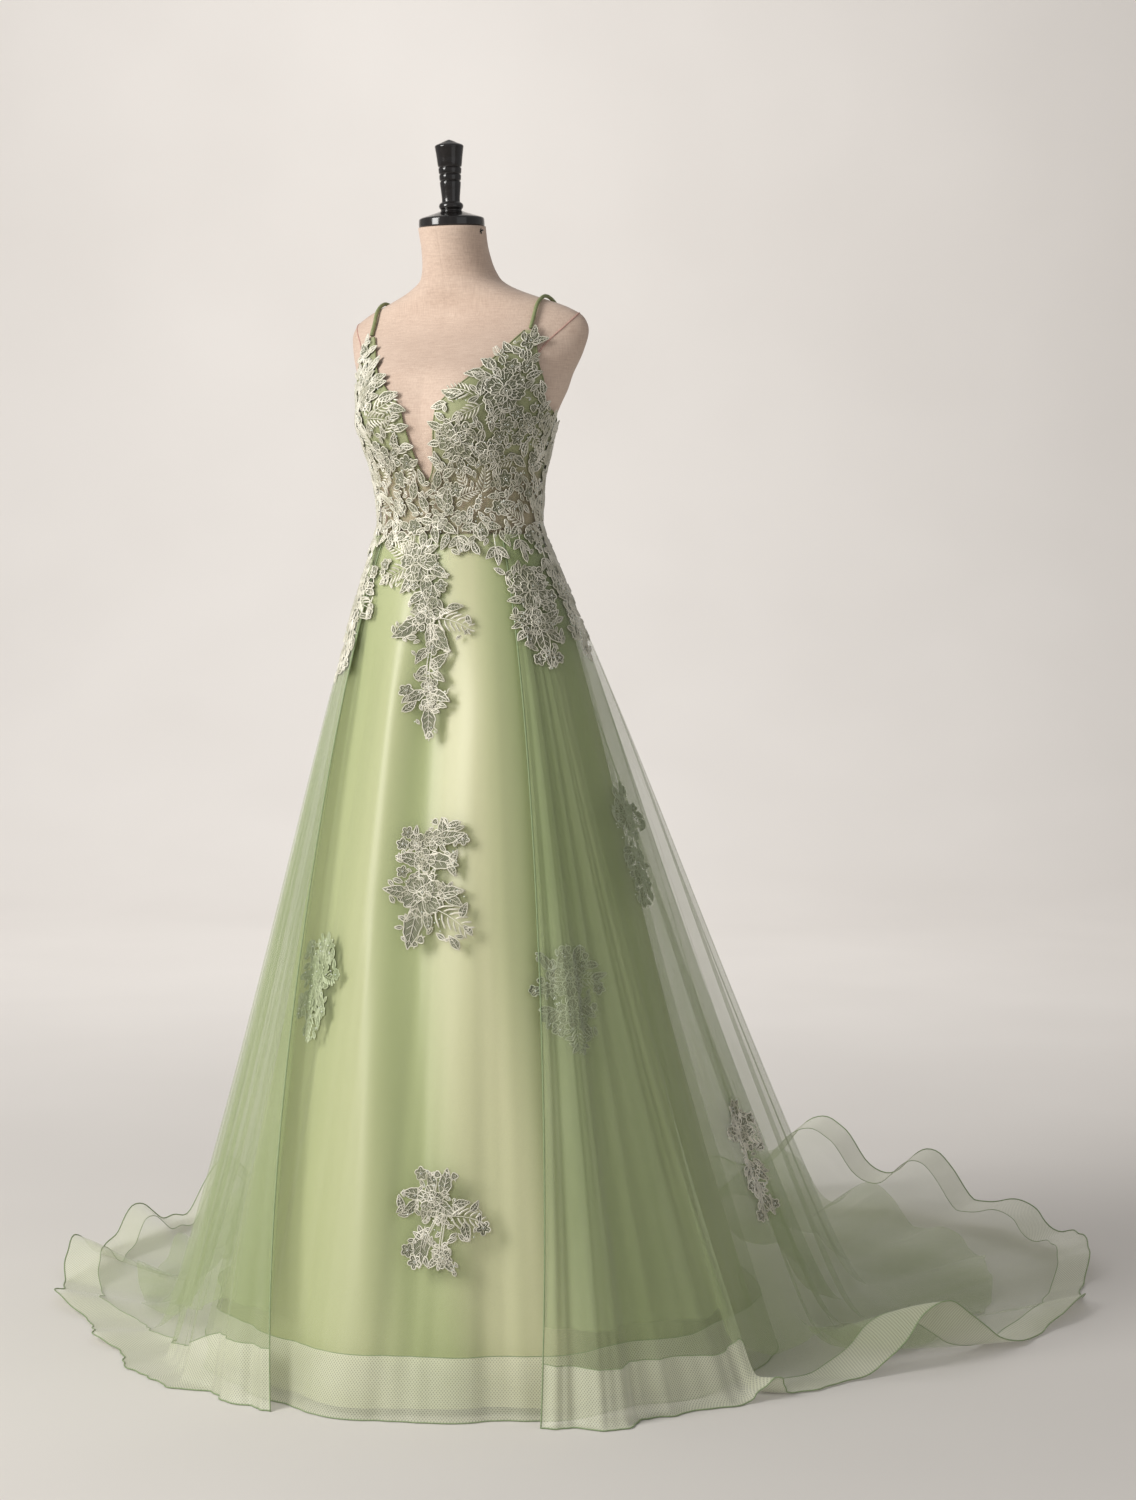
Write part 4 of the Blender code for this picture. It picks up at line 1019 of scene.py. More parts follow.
def look_cord(name, low, high):
    """Twisted cord of the lace, with a slight metal glint."""
    look = Look(name, 0.42)
    patches = noise(look, look.coordinates("Object"), 45.0)
    look.colour(patches, "Fac", ((0.32, low), (0.68, high)))
    twist = noise(look, look.coordinates("Object", (900.0, 900.0, 900.0)), 1.0)
    look.bump(twist, "Fac", 0.3, 0.0004)
    look.shader.inputs["Metallic"].default_value = 0.15
    look.shader.inputs["Sheen Weight"].default_value = 0.3
    return look.material


def look_bead():
    """Small cut beads, pale and glossy."""
    look = Look("cut_bead", 0.06)
    tint = noise(look, look.coordinates("Object"), 200.0)
    look.colour(tint, "Fac", ((0.3, (0.62, 0.68, 0.60)), (0.7, (0.90, 0.92, 0.86))))
    look.shader.inputs["Coat Weight"].default_value = 0.6
    return look.material


def look_thread(name, low, high):
    """Sewing thread and rouleau."""
    look = Look(name, 0.6)
    twist = noise(look, look.coordinates("Object", (300.0, 300.0, 300.0)), 1.0)
    look.colour(twist, "Fac", ((0.3, low), (0.7, high)))
    look.bump(twist, "Fac", 0.3, 0.0004)
    return look.material


LINEN = look_linen()
GLOSS = look_gloss()
IRON = look_iron()
SATIN = look_satin()
TULLE = look_net("inner_tulle", (0.40, 0.47, 0.22), (0.48, 0.55, 0.29), 0.22, 0.30, 0.0016)
OVERLAY_NET = look_net("outer_tulle", (0.43, 0.51, 0.27), (0.53, 0.59, 0.36), 0.24, 0.34, 0.0016)
# The inner ply's net is denser than the outer net, which is real, and a darker green, which is painted shade.
SHADED_SECOND_NET = look_net("shaded_second_tulle", (0.33, 0.42, 0.16), (0.43, 0.51, 0.23), 0.30, 0.42, 0.0016)
BRAID = look_braid()
MESH = look_mesh()
LACE_FILL = look_lace("lace_stitches", (0.13, 0.14, 0.072), (0.31, 0.31, 0.20), (0.05, 0.062, 0.026))
VEILED_FILL = look_lace("veiled_stitches", (0.29, 0.34, 0.17), (0.40, 0.45, 0.26), (0.23, 0.28, 0.13))
CORD = look_cord("lace_cord", (0.52, 0.50, 0.38), (0.93, 0.89, 0.77))
# The faint and deep cords are the lace cord's colours dimmed and greener: painted shade on the sprays under
# the overlay.
SHADED_FAINT_CORD = look_cord("shaded_faint_cord", (0.36, 0.42, 0.23), (0.47, 0.52, 0.33))
SHADED_DEEP_CORD = look_cord("shaded_veiled_cord", (0.34, 0.38, 0.25), (0.50, 0.53, 0.39))
BEAD = look_bead()
OLIVE = look_thread("olive_rouleau", (0.20, 0.235, 0.10), (0.28, 0.315, 0.145))
HEM_THREAD = look_thread("hem_cord", (0.22, 0.30, 0.15), (0.32, 0.40, 0.22))


# Meshes


def add_piece(name, mesh, looks, smooth=True, stands_for=()):
    """A piece of the dress or form: its materials and what it stands for."""
    piece = bpy.data.objects.new(name, mesh)
    bpy.context.scene.collection.objects.link(piece)
    for look in looks:
        mesh.materials.append(look)
    for face in mesh.polygons:
        face.use_smooth = smooth
    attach(piece, "root")
    if stands_for:
        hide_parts(*stands_for)
    return piece


def mesh_of(name, points, faces):
    mesh = bpy.data.meshes.new(name)
    mesh.from_pydata([tuple(p) for p in points], [], faces)
    return mesh


def sheet_mesh(name, rows, closed=False):
    """An open sheet through rows of points, with its lengths across and up as UV."""
    count = len(rows[0])
    spans = count if closed else count - 1
    faces = []
    for r in range(len(rows) - 1):
        for c in range(spans):
            d = (c + 1) % count
            faces.append((r * count + c, r * count + d, (r + 1) * count + d, (r + 1) * count + c))
    mesh = mesh_of(name, [p for row in rows for p in row], faces)
    middle = rows[len(rows) // 2]
    across = [0.0]
    for c in range(spans):
        across.append(across[-1] + (middle[(c + 1) % count] - middle[c]).length)
    up = [0.0]
    line = [row[count // 2] for row in rows]
    for a, b in zip(line, line[1:]):
        up.append(up[-1] + (b - a).length)
    layer = mesh.uv_layers.new(name="UVMap")
    at = 0
    for r in range(len(rows) - 1):
        for c in range(spans):
            for column, row in ((c, r), (c + 1, r), (c + 1, r + 1), (c, r + 1)):
                layer.data[at].uv = (across[column], up[row])
                at += 1
    return mesh


def add_tube(name, lines, radius, look, sides=6, stands_for=()):
    """Round threads along lines of points, closed at both ends."""
    points = []
    faces = []
    for line in lines:
        start = len(points)
        frame_up = Vector((0.0, 0.0, 1.0))
        for i, p in enumerate(line):
            ahead = (line[min(i + 1, len(line) - 1)] - line[max(i - 1, 0)]).normalized()
            side = ahead.cross(frame_up)
            if side.length < 0.1:
                side = ahead.cross(Vector((1.0, 0.0, 0.0)))
            side.normalize()
            over = side.cross(ahead)
            for s in range(sides):
                turn = 2 * math.pi * s / sides
                points.append(p + (side * math.cos(turn) + over * math.sin(turn)) * radius)
        for i in range(len(line) - 1):
            for s in range(sides):
                a = start + i * sides + s
                b = start + i * sides + (s + 1) % sides
                faces.append((a, b, b + sides, a + sides))
        faces.append(tuple(start + s for s in range(sides))[::-1])
        faces.append(tuple(start + (len(line) - 1) * sides + s for s in range(sides)))
    return add_piece(name, mesh_of(name, points, faces), [look], stands_for=stands_for)


def spread(low, high, count, power=1.0):
    """Heights from low to high, closer together toward the top when power is over 1."""
    return [high - (high - low) * (1 - k / count) ** power for k in range(count + 1)]


def smooth_line(points, parts):
    """More points along a smooth curve through the given ones."""
    found = []
    last = len(points) - 1
    for i in range(last):
        a = points[max(i - 1, 0)]
        b = points[i]
        c = points[i + 1]
        d = points[min(i + 2, last)]
        for k in range(parts):
            t = k / parts
            found.append(
                b
                + (c - a) * (0.5 * t)
                + (a * 2 - b * 5 + c * 4 - d) * (0.5 * t * t)
                + (b * 3 - a - c * 3 + d) * (0.5 * t * t * t)
            )
    found.append(points[last].copy())
    return found


# Dress form

# Turned knob: height over the neck, radius
KNOB_ROWS = (
    (0.0000, 0.0470),
    (0.0015, 0.0478),
    (0.0105, 0.0474),
    (0.0123, 0.0462),
    (0.0160, 0.0360),
    (0.0195, 0.0250),
    (0.0215, 0.0190),
    (0.0235, 0.0152),
    (0.0250, 0.0156),
    (0.0270, 0.0170),
    (0.0297, 0.0177),
    (0.0325, 0.0170),
    (0.0345, 0.0150),
    (0.0360, 0.0132),
    (0.0385, 0.0131),
    (0.0500, 0.0140),
    (0.0640, 0.0152),
    (0.0654, 0.0139),
    (0.0668, 0.0154),
    (0.0735, 0.0159),
    (0.0749, 0.0146),
    (0.0763, 0.0161),
    (0.0835, 0.0167),
    (0.0848, 0.0153),
    (0.0861, 0.0170),
    (0.1000, 0.0188),
    (0.1125, 0.0206),
    (0.1145, 0.0209),
    (0.1162, 0.0200),
    (0.1200, 0.0120),
    (0.1232, 0.0045),
    (0.1246, 0.0002),
)

# Screw on the neck cap, arm plates and straps: angles in degrees, places and reaches in metres
KNOB_TILT = 4.0
KNOB_STEP = 0.0005
KNOB_SIDES = 64
SCREW_ANGLE = 85.0
SCREW_OUT = 0.0497
SCREW_DOWN = 0.0085
SCREW_TURN = 0.35
SCREW_REACH = 0.0042
PLATE_ANGLE = 97.0
PLATE_WIDE = 37.0
PLATE_Z = 1.466
PLATE_HIGH = 0.068
PLATE_FIRST = -1.75
PLATE_LAST = 2.4
STRAP_X_FRONT = 0.128
STRAP_X_TOP = 0.131
STRAP_X_BACK = 0.088
STRAP_BACK_Z = 1.352
STRAP_END_GAP = 0.0040
STRAP_OFF = 0.0044
STRAP_MIDDLE = Vector((0.0, 0.020, 1.440))
STRAP_RADIUS = 0.0027
BINDING_RADIUS = 0.0011
SEAM_DEPTH = 0.0005
SEAM_WIDTH = 0.9
FORM_LEVELS = 150
FORM_SIDES = 180
FORM_EDGE = 0.0005
PLATE_STEPS = 60
STRAP_STEPS = 18
STRAP_PARTS = 8
PLATE_THREAD = look_thread("plate_thread", (0.50, 0.29, 0.24), (0.60, 0.37, 0.31))


def build_form():
    """Linen torso with its centre front seam and neck, closed under the hips."""
    rows = []
    for z in spread(FORM_BOTTOM, NECK_TOP - FORM_EDGE, FORM_LEVELS):
        row = []
        for s in range(FORM_SIDES):
            angle = 360.0 * s / FORM_SIDES
            sunk = SEAM_DEPTH * math.exp(-(((angle + 180.0) % 360.0 - 180.0) / SEAM_WIDTH) ** 2)
            p = form_point(angle, z)
            row.append(p - normal_of(form_point, angle, z) * sunk)
        rows.append(row)
    inner = [[p.lerp(Vector((0.0, FORM(NECK_TOP)[3], p.z)), 0.97) for p in rows[-1]]]
    under = [[p.lerp(Vector((0.0, 0.0, p.z)), 0.92) for p in rows[0]]]
    mesh = sheet_mesh("form_linen", under + rows + inner, closed=True)
    add_piece("form_linen", mesh, [LINEN], stands_for=("form_body",))
    plates = []
    for side in (1, -1):
        ring = []
        for k in range(PLATE_STEPS + 1):
            turn = PLATE_FIRST + (PLATE_LAST - PLATE_FIRST) * k / PLATE_STEPS
            angle = side * (PLATE_ANGLE + PLATE_WIDE * math.sin(turn))
            ring.append(off_form(angle, PLATE_Z + PLATE_HIGH * math.cos(turn), 0.0))
        plates.append(ring)
    add_tube("arm_plate_seam", plates, BINDING_RADIUS, PLATE_THREAD)


def build_knob():
    """Turned cap and knob with its grooves."""
    radius_at = Curve(KNOB_ROWS)
    high = KNOB_ROWS[-1][0]
    tilt = math.radians(KNOB_TILT)
    across = Vector((0.0, math.cos(tilt), math.sin(tilt)))
    along = Vector((0.0, -math.sin(tilt), math.cos(tilt)))
    centre = Vector((0.0, FORM(NECK_TOP)[3], NECK_TOP + SEAM_GAP))
    rows = []
    for k in range(round(high / KNOB_STEP) + 1):
        up = min(KNOB_STEP * k, high)
        radius = radius_at(up)[0]
        row = []
        for s in range(KNOB_SIDES):
            turn = 2 * math.pi * s / KNOB_SIDES
            side = Vector((radius * math.sin(turn), 0.0, 0.0))
            row.append(centre + side - across * radius * math.cos(turn) + along * up)
        rows.append(row)
    rows.insert(0, [p.lerp(centre, 0.95) for p in rows[0]])
    mesh = sheet_mesh("turned_knob", rows, closed=True)
    add_piece("turned_knob", mesh, [GLOSS], stands_for=("neck_cap_knob",))

    seat = polar(SCREW_ANGLE, SCREW_OUT, NECK_TOP - SCREW_DOWN) + Vector((0.0, FORM(NECK_TOP)[3], 0.0))
    lines = []
    for turn in (SCREW_TURN, SCREW_TURN + math.pi / 2):
        reach = Vector((math.cos(turn) * 0.9, math.sin(turn) * 0.4, math.sin(turn))) * SCREW_REACH
        lines.append([seat - reach, seat + reach])
    add_tube("neck_cap_screw", lines, BINDING_RADIUS, GLOSS)


# Bodice

MESH_OFF = FORM_GAP + MESH_WALL * 0.6
UNDER_WAIST = 0.002
SIDE_SEAM = 91.0
FRONT_LEVELS = 56
FRONT_COLUMNS = 40
BACK_LEVELS = 30
BACK_COLUMNS = 80


def mesh_panel(name, places, node):
    lines = [[off_form(angle, z, MESH_OFF) for angle, z in row] for row in places]
    return add_piece(name, sheet_mesh(name, lines), [MESH], stands_for=(node,))


def build_fronts():
    """Mesh fronts, each with a binding along the neckline and one along the armhole."""
    for side, word in ((1, "left"), (-1, "right")):
        places = []
        for z in spread(WAIST_Z - UNDER_WAIST, PEAK_Z, FRONT_LEVELS):
            start = front_edge_angle(z)
            step = (ARMHOLE(z)[0] - start) / FRONT_COLUMNS
            places.append([(side * (start + step * c), z) for c in range(FRONT_COLUMNS + 1)][::side])
        panel = mesh_panel("mesh_front_" + word, places, "bodice_front_" + word)
        edge = []
        for z in spread(V_BOTTOM_Z + 0.002, PEAK_Z - 0.001, 60):
            edge.append(off_form(side * front_edge_angle(z), z, MESH_OFF))
        rim = []
        for z in spread(UNDERARM_Z - 0.004, PEAK_Z - 0.001, 50):
            rim.append(off_form(side * ARMHOLE(z)[0], z, MESH_OFF))
        add_tube("neck_binding_" + word, [edge, rim], BINDING_RADIUS, OLIVE)


def build_back():
    """Low mesh back from one side seam to the other, bound along its top."""
    low = WAIST_Z - UNDER_WAIST
    places = []
    for level in range(BACK_LEVELS + 1):
        row = []
        for c in range(BACK_COLUMNS + 1):
            angle = SIDE_SEAM + (360.0 - 2 * SIDE_SEAM) * c / BACK_COLUMNS
            row.append((angle, low + (back_top(min(angle, 360.0 - angle)) - low) * level / BACK_LEVELS))
        places.append(row)
    panel = mesh_panel("mesh_back", places, "bodice_back")
    top_edge = [off_form(angle, z, MESH_OFF) for angle, z in places[-1]]
    add_tube("back_binding", [top_edge], BINDING_RADIUS, OLIVE)


def build_straps():
    """Narrow rouleau straps, rounded and sewn on at the peak of each front and at the back's edge."""
    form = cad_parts["form_body"].data
    tree = BVHTree.FromPolygons([v.co for v in form.vertices], [f.vertices for f in form.polygons])
    middle = STRAP_MIDDLE
    front = form_point(math.degrees(math.asin(STRAP_X_FRONT / FORM(PEAK_Z)[0])), PEAK_Z)
    back = form_point(180.0 - math.degrees(math.asin(STRAP_X_BACK / FORM(STRAP_BACK_Z)[0])), STRAP_BACK_Z)
    turn_front = math.atan2(front.z + STRAP_END_GAP - middle.z, middle.y - front.y)
    turn_back = math.pi + math.atan2(middle.z - back.z, back.y - middle.y)
    route = Curve(((0.0, STRAP_X_FRONT), (0.35, STRAP_X_TOP), (1.0, STRAP_X_BACK)))
    for side, word in ((1, "left"), (-1, "right")):
        line = []
        for k in range(STRAP_STEPS + 1):
            turn = turn_front + (turn_back - turn_front) * k / STRAP_STEPS
            away = Vector((0.0, -math.cos(turn), math.sin(turn)))
            start = middle + Vector((side * route(k / STRAP_STEPS)[0], 0.0, 0.0)) + away * 0.4
            hit, normal = tree.ray_cast(start, -away)[:2]
            line.append(hit + normal * STRAP_OFF * (1 if normal.dot(away) > 0 else -1))
        line = smooth_line(line, STRAP_PARTS)
        node = "strap_" + word
        add_tube("rouleau_" + word, [line], STRAP_RADIUS, OLIVE, sides=12, stands_for=(node,))


# Skirts

# Pieces that go all round, and the solids that each stands for
RING_NODES = {
    "satin_underskirt": ("satin_front", "satin_back"),
    "tulle_skirt": ("tulle_front", "tulle_back"),
    "tulle_skirt_braid": ("tulle_braid_front", "tulle_braid_back"),
}
RING_SIDES = 360
HEM_UP = Vector((0.0, 0.0, 0.0007))
SEAM_THREAD = 0.0006


def ring_sheet(name, look, surface, heights, off):
    """A closed sheet round the body, which stands for a front and a back node."""
    rows = []
    for z in heights:
        row = []
        for s in range(RING_SIDES):
            angle = 360.0 * s / RING_SIDES - 90.0
            row.append(surface(angle, z) + polar(angle, off, 0.0))
        rows.append(row)
    mesh = sheet_mesh(name, rows, closed=True)
    nodes = RING_NODES[name]
    return add_piece(name, mesh, [look], stands_for=nodes), rows


def build_underskirts():
    """Satin skirt, the tulle over it, and the braid on the tulle's hem with its threads."""
    top = WAIST_Z - SEAM_GAP
    heights = spread(SATIN_HEM_Z, top, 60, 1.2)
    satin = ring_sheet("satin_underskirt", SATIN, folded_satin, heights, SATIN_WALL * 0.5)[0]
    heights = spread(BRAID_WIDTH + FLOOR_GAP, top, 50, 1.2)
    tulle, rows = ring_sheet("tulle_skirt", TULLE, folded_tulle, heights, TULLE_WALL * 0.5)
    stitch = rows[0] + rows[0][:1]
    heights = spread(FLOOR_GAP, BRAID_WIDTH + FLOOR_GAP, 8)
    braid, rows = ring_sheet("tulle_skirt_braid", BRAID, folded_tulle, heights, TULLE_WALL * 0.5)
    hem = [p + HEM_UP for p in rows[0] + rows[0][:1]]
    add_tube("tulle_skirt_hem", [hem], 0.0008, HEM_THREAD, sides=5)
    add_tube("tulle_skirt_seam", [stitch], SEAM_THREAD, HEM_THREAD, sides=4)


# Overlay panels: name, first angle, last angle, columns, flat size, flat area
OVERLAY_PANELS = (
    ("overlay_left", 43.0, 131.0, 230, (0.90, 1.30), 0.62),
    ("overlay_train", 131.0, 238.0, 230, (2.55, 1.48), 2.05),
    ("overlay_right", 238.0, 344.6, 190, (1.15, 1.30), 0.69),
)
PANEL_ROWS = 70
BRAID_ROWS = 10


def ply_rows(panel):
    """The overlay's inner ply: part of the way out from the underskirt, in waves of its own."""
    rows = []
    last = len(panel) - 1
    for level, row in enumerate(panel):
        low = (1 - level / last) ** 2
        line = []
        for p in row:
            turn = math.radians(heading(p))
            inner = tulle_point(math.degrees(turn), p.z)
            near = math.hypot(inner.x, inner.y) + TULLE_WALL
            reach = math.hypot(p.x, p.y)
            wide = 0.28 * math.sin(17 * turn + 0.6)
            fine = 0.22 * math.sin(29 * turn + 2.1 + 1.5 * low)
            wave = 0.5 + wide + fine
            keep = PLY_NEAR + (PLY_FAR - PLY_NEAR) * wave
            keep += (PLY_AT_SEAM - keep) * low * low
            share = (near + max(0.0, reach - near) * keep) / reach
            line.append(Vector((p.x * share, p.y * share, p.z)))
        rows.append(line)
    return rows


def add_cloth(name, rows, look, area=None, stands_for=()):
    """A gathered sheet. Where no flat area is given, it is measured on the sheet; the flat area is not used.
    """
    made = add_piece(name, sheet_mesh(name, rows), [look], stands_for=stands_for)
    if area is None:
        area = sum(face.area for face in made.data.polygons)


def build_overlay():
    """The overlay's panels in two plies, the braid on each hem, and the threads along the edges."""
    shares = [1 - (k / PANEL_ROWS) ** 1.2 for k in range(PANEL_ROWS + 1)]
    lengths = [BRAID_WIDTH * k / BRAID_ROWS for k in range(BRAID_ROWS + 1)]
    hems = []
    seams = []
    for name, first, last, count, flat, area in OVERLAY_PANELS:
        angles = [first + (last - first) * c / count for c in range(count + 1)]
        strips = [overlay_strip(angle, shares, lengths) for angle in angles]
        rows = [list(row) for row in zip(*strips)]
        braid = rows[: len(lengths)]
        panel = rows[len(lengths):]
        outer = "outer_" + name
        add_cloth(outer, panel, OVERLAY_NET, area, (name,))
        add_cloth("inner_" + name, ply_rows(panel)[PLY_START:], SHADED_SECOND_NET)
        hem = [p + HEM_UP for p in braid[0]]
        add_cloth(outer + "_braid", braid, BRAID, stands_for=(name + "_braid",))
        hems.append(hem)
        seams.append(panel[0])
        if name == "overlay_left":
            hems.append([row[0] for row in rows])
        if name == "overlay_right":
            hems.append([row[-1] for row in rows])
    add_tube("overlay_hem", hems, 0.0010, HEM_THREAD, sides=5)
    add_tube("overlay_seam", seams, SEAM_THREAD, HEM_THREAD, sides=4)


build_form()
build_knob()
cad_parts["stand"].data.materials[0] = IRON
build_fronts()
build_back()
build_straps()
build_underskirts()
build_overlay()


# Lace: motifs drawn flat, then laid on the cloth

CORD_STEP = 0.0026
CORD_RADIUS = 0.00078
VEIN_RADIUS = 0.00045
FILL_GRID = 0.0065
FILL_LIFT = 0.0006
FRINGE_PAST = 0.012
CORD_LIFT = 0.0012
BEAD_RADIUS = 0.0011
BEAD_LIFT = 0.0008
BEAD_REACH = 0.003
LAYER_STEP = 0.0002
LAYERS = 4
LEAFLET = 0.0055
FULL_TURN = 6.28
PLAIN_LACE = (LACE_FILL, CORD)
# The shaded and veiled looks take the dimmed cords, painted shade.
SHADED_LACE = (LACE_FILL, SHADED_DEEP_CORD)
VEILED_SHADED_LACE = (VEILED_FILL, SHADED_FAINT_CORD)


def resampled(line, step):
    """The same line with its points about a step apart."""
    runs = [0.0]
    for a, b in zip(line, line[1:]):
        runs.append(runs[-1] + (b - a).length)
    count = max(2, round(runs[-1] / step))
    found = []
    i = 0
    for k in range(count + 1):
        target = runs[-1] * k / count
        while i < len(line) - 2 and runs[i + 1] < target:
            i += 1
        span = runs[i + 1] - runs[i]
        found.append(line[i].lerp(line[i + 1], (target - runs[i]) / span if span > 0 else 0.0))
    return found


def circle_of(radius_at, count, middle=(0.0, 0.0)):
    """A closed line round a middle, its radius given at each angle."""
    found = []
    for k in range(count + 1):
        around = 2 * math.pi * (k % count) / count
        reach = radius_at(around)
        found.append((middle[0] + reach * math.cos(around), middle[1] + reach * math.sin(around)))
    return found


class Lace:
    """One piece of lace: stitched fills, raised cords and beads laid on a seat.

    The seat turns a flat point, distance round and height, into a point on the cloth and its normal.
    A spot is a motif's distance round, height, size and heading. Points inside a motif are shares of
    its size, along its heading and to the side.
    """

    def __init__(self, seat, seed):
        self.seat = seat
        self.draw = random.Random(seed)
        self.fill_points = []
        self.fill_uvs = []
        self.fill_faces = []
        self.cord_points = []
        self.cord_faces = []
        self.beads = []
        self.order = 0

    def flat(self, spot, points):
        """A motif's own points as flat points of the lace."""
        across, height, size, turn = spot
        tilt = math.radians(turn)
        found = []
        for along, side in points:
            x = across + size * (along * math.sin(tilt) + side * math.cos(tilt))
            found.append(Vector((x, height + size * (along * math.cos(tilt) - side * math.sin(tilt)))))
        return found

    def fill(self, spot, points, lift=0.0):
        """A stitched fill inside an outline, with points on a grid so that it follows the cloth."""
        outline = self.flat(spot, points)
        if outline[0] == outline[-1]:
            outline = outline[:-1]
        places = list(outline)
        low = Vector((min(p.x for p in outline), min(p.y for p in outline)))
        high = Vector((max(p.x for p in outline), max(p.y for p in outline)))
        for i in range(1, int((high.x - low.x) / FILL_GRID) + 1):
            for j in range(1, int((high.y - low.y) / FILL_GRID) + 1):
                p = Vector((low.x + (i - 0.25 + 0.5 * (j % 2)) * FILL_GRID, low.y + (j - 0.3) * FILL_GRID))
                if inside(p, outline):
                    places.append(p)
        count = len(outline)
        edges = [(i, (i + 1) % count) for i in range(count)]
        flat, _, faces = geometry.delaunay_2d_cdt(places, edges, [tuple(range(count))], 1, 0.00001)[:3]
        start = len(self.fill_points)
        rise = FILL_LIFT + lift + LAYER_STEP * (self.order % LAYERS)
        for p in flat:
            point, normal = self.seat(p)
            self.fill_points.append(point + normal * rise)
            self.fill_uvs.append((p.x, p.y))
        for face in faces:
            a, b, c = (flat[v] for v in face[:3])
            if (b - a).cross(c - a) < 0:
                face = face[::-1]
            self.fill_faces.append(tuple(start + v for v in face))

    def cord(self, spot, points, radius=CORD_RADIUS, lift=0.0, taper=0.45):
        """A raised cord along a line, open underneath and thinner at its ends."""
        line = resampled(self.flat(spot, points), CORD_STEP)
        closed = (line[0] - line[-1]).length < 0.0001
        seats = [self.seat(p) for p in line]
        start = len(self.cord_points)
        count = len(line)
        rise = CORD_LIFT + lift + LAYER_STEP * (self.order % LAYERS)
        for i, (point, normal) in enumerate(seats):
            before = seats[i - 1][0] if i > 0 else (seats[-2][0] if closed else point)
            after = seats[i + 1][0] if i < count - 1 else (seats[1][0] if closed else point)
            side = normal.cross(after - before).normalized()
            wide = radius if closed or 0 < i < count - 1 else radius * taper
            base = point + normal * (rise - 0.6 * wide)
            self.cord_points += [base - side * wide, base + normal * 1.7 * wide, base + side * wide]
        for i in range(count - 1):
            a = start + 3 * i
            self.cord_faces += [(a + 3, a + 4, a + 1, a), (a + 4, a + 5, a + 2, a + 1)]

    def bead(self, flat, lift=0.0):
        point, normal = self.seat(flat)
        self.beads.append(point + normal * (CORD_LIFT + BEAD_LIFT + lift))

    def petal(self, spot, middle, around, half, near, far, lift):
        """One ruffled petal of a rose, from near its middle out."""
        outline = []
        for k in range(15):
            t = k / 14
            turn = around + half * (2 * t - 1)
            reach = near + (far - near) * math.sin(math.pi * t) ** 0.42
            if 2 < k < 12:
                reach += 0.05 * (1 if k % 3 else -1.2)
            outline.append((middle[0] + reach * math.cos(turn), middle[1] + reach * math.sin(turn)))
        outline.append(outline[0])
        self.fill(spot, outline, lift)
        self.cord(spot, outline, lift=lift)
        if spot[2] > 0.0125:
            for way in (-0.42, 0.0, 0.42):
                line = []
                for share in (0.30, 0.55, 0.80):
                    turn = around + half * way * (0.6 + 0.5 * share)
                    reach = near + (far - near) * share
                    line.append((middle[0] + reach * math.cos(turn), middle[1] + reach * math.sin(turn)))
                self.cord(spot, line, VEIN_RADIUS, lift=lift)

    def rose(self, spot):
        """Outer petals, a smaller ring of inner ones, a heart and a swirl."""
        size = spot[2]
        jog = self.draw.uniform(0.0, FULL_TURN)
        middle = (0.10 * math.cos(jog), 0.10 * math.sin(jog))
        outer = 6 if size > 0.02 else 5
        for k in range(outer):
            around = jog + 2 * math.pi * (k + self.draw.uniform(-0.12, 0.12)) / outer
            far = self.draw.uniform(0.88, 1.06)
            self.petal(spot, (0.0, 0.0), around, 0.72, 0.28, far, 0.0004 * (k % 3))
        inner = 4 if size > 0.013 else 3
        for k in range(inner):
            around = jog + 0.6 + 2 * math.pi * (k + self.draw.uniform(-0.15, 0.15)) / inner
            far = self.draw.uniform(0.52, 0.64)
            self.petal(spot, middle, around, 0.88, 0.14, far, 0.0012 + 0.0003 * (k % 2))
        if size > 0.013:
            heart = circle_of(lambda turn: 0.27 + 0.04 * math.cos(3 * turn), 14, middle)
            self.fill(spot, heart, 0.0018)
            self.cord(spot, heart, lift=0.0018)
        swirl = []
        for k in range(9):
            turn = jog + 0.95 * k
            reach = 0.20 - 0.02 * k
            swirl.append((middle[0] + reach * math.cos(turn), middle[1] + reach * math.sin(turn)))
        self.cord(spot, swirl, VEIN_RADIUS * 1.3, lift=0.0020)
        self.bead(self.flat(spot, [middle])[0], 0.0014)

    def leaf(self, spot, wide=0.42):
        """A pointed leaf, a little bent, with its rib and side veins."""
        size = spot[2]
        bend = self.draw.uniform(-0.16, 0.16)
        edge = []
        for k in range(9):
            t = k / 8
            edge.append((2 * t - 1, wide * math.sin(math.pi * t ** 0.75) ** 1.05 * (1 + 0.16 * (k % 2))))
        left = [(a, s + bend * (1 - a * a)) for a, s in edge]
        right = [(a, -s + bend * (1 - a * a)) for a, s in edge]
        outline = left + right[::-1][1:]
        self.fill(spot, outline)
        self.cord(spot, outline)
        rib = [(-1.15, bend * 0.2), (-0.5, bend * 0.75), (0.1, bend), (0.72, bend * 0.5)]
        self.cord(spot, rib, VEIN_RADIUS if size < 0.01 else CORD_RADIUS * 0.8, lift=0.0003)
        if size > 0.0085:
            for k in range(4):
                a = -0.55 + 0.36 * k
                for way in (1, -1):
                    tip = (a + 0.26, way * wide * (0.74 - 0.10 * k) + bend * 0.8)
                    self.cord(spot, [(a, bend * 0.9), tip], VEIN_RADIUS, lift=0.0002)

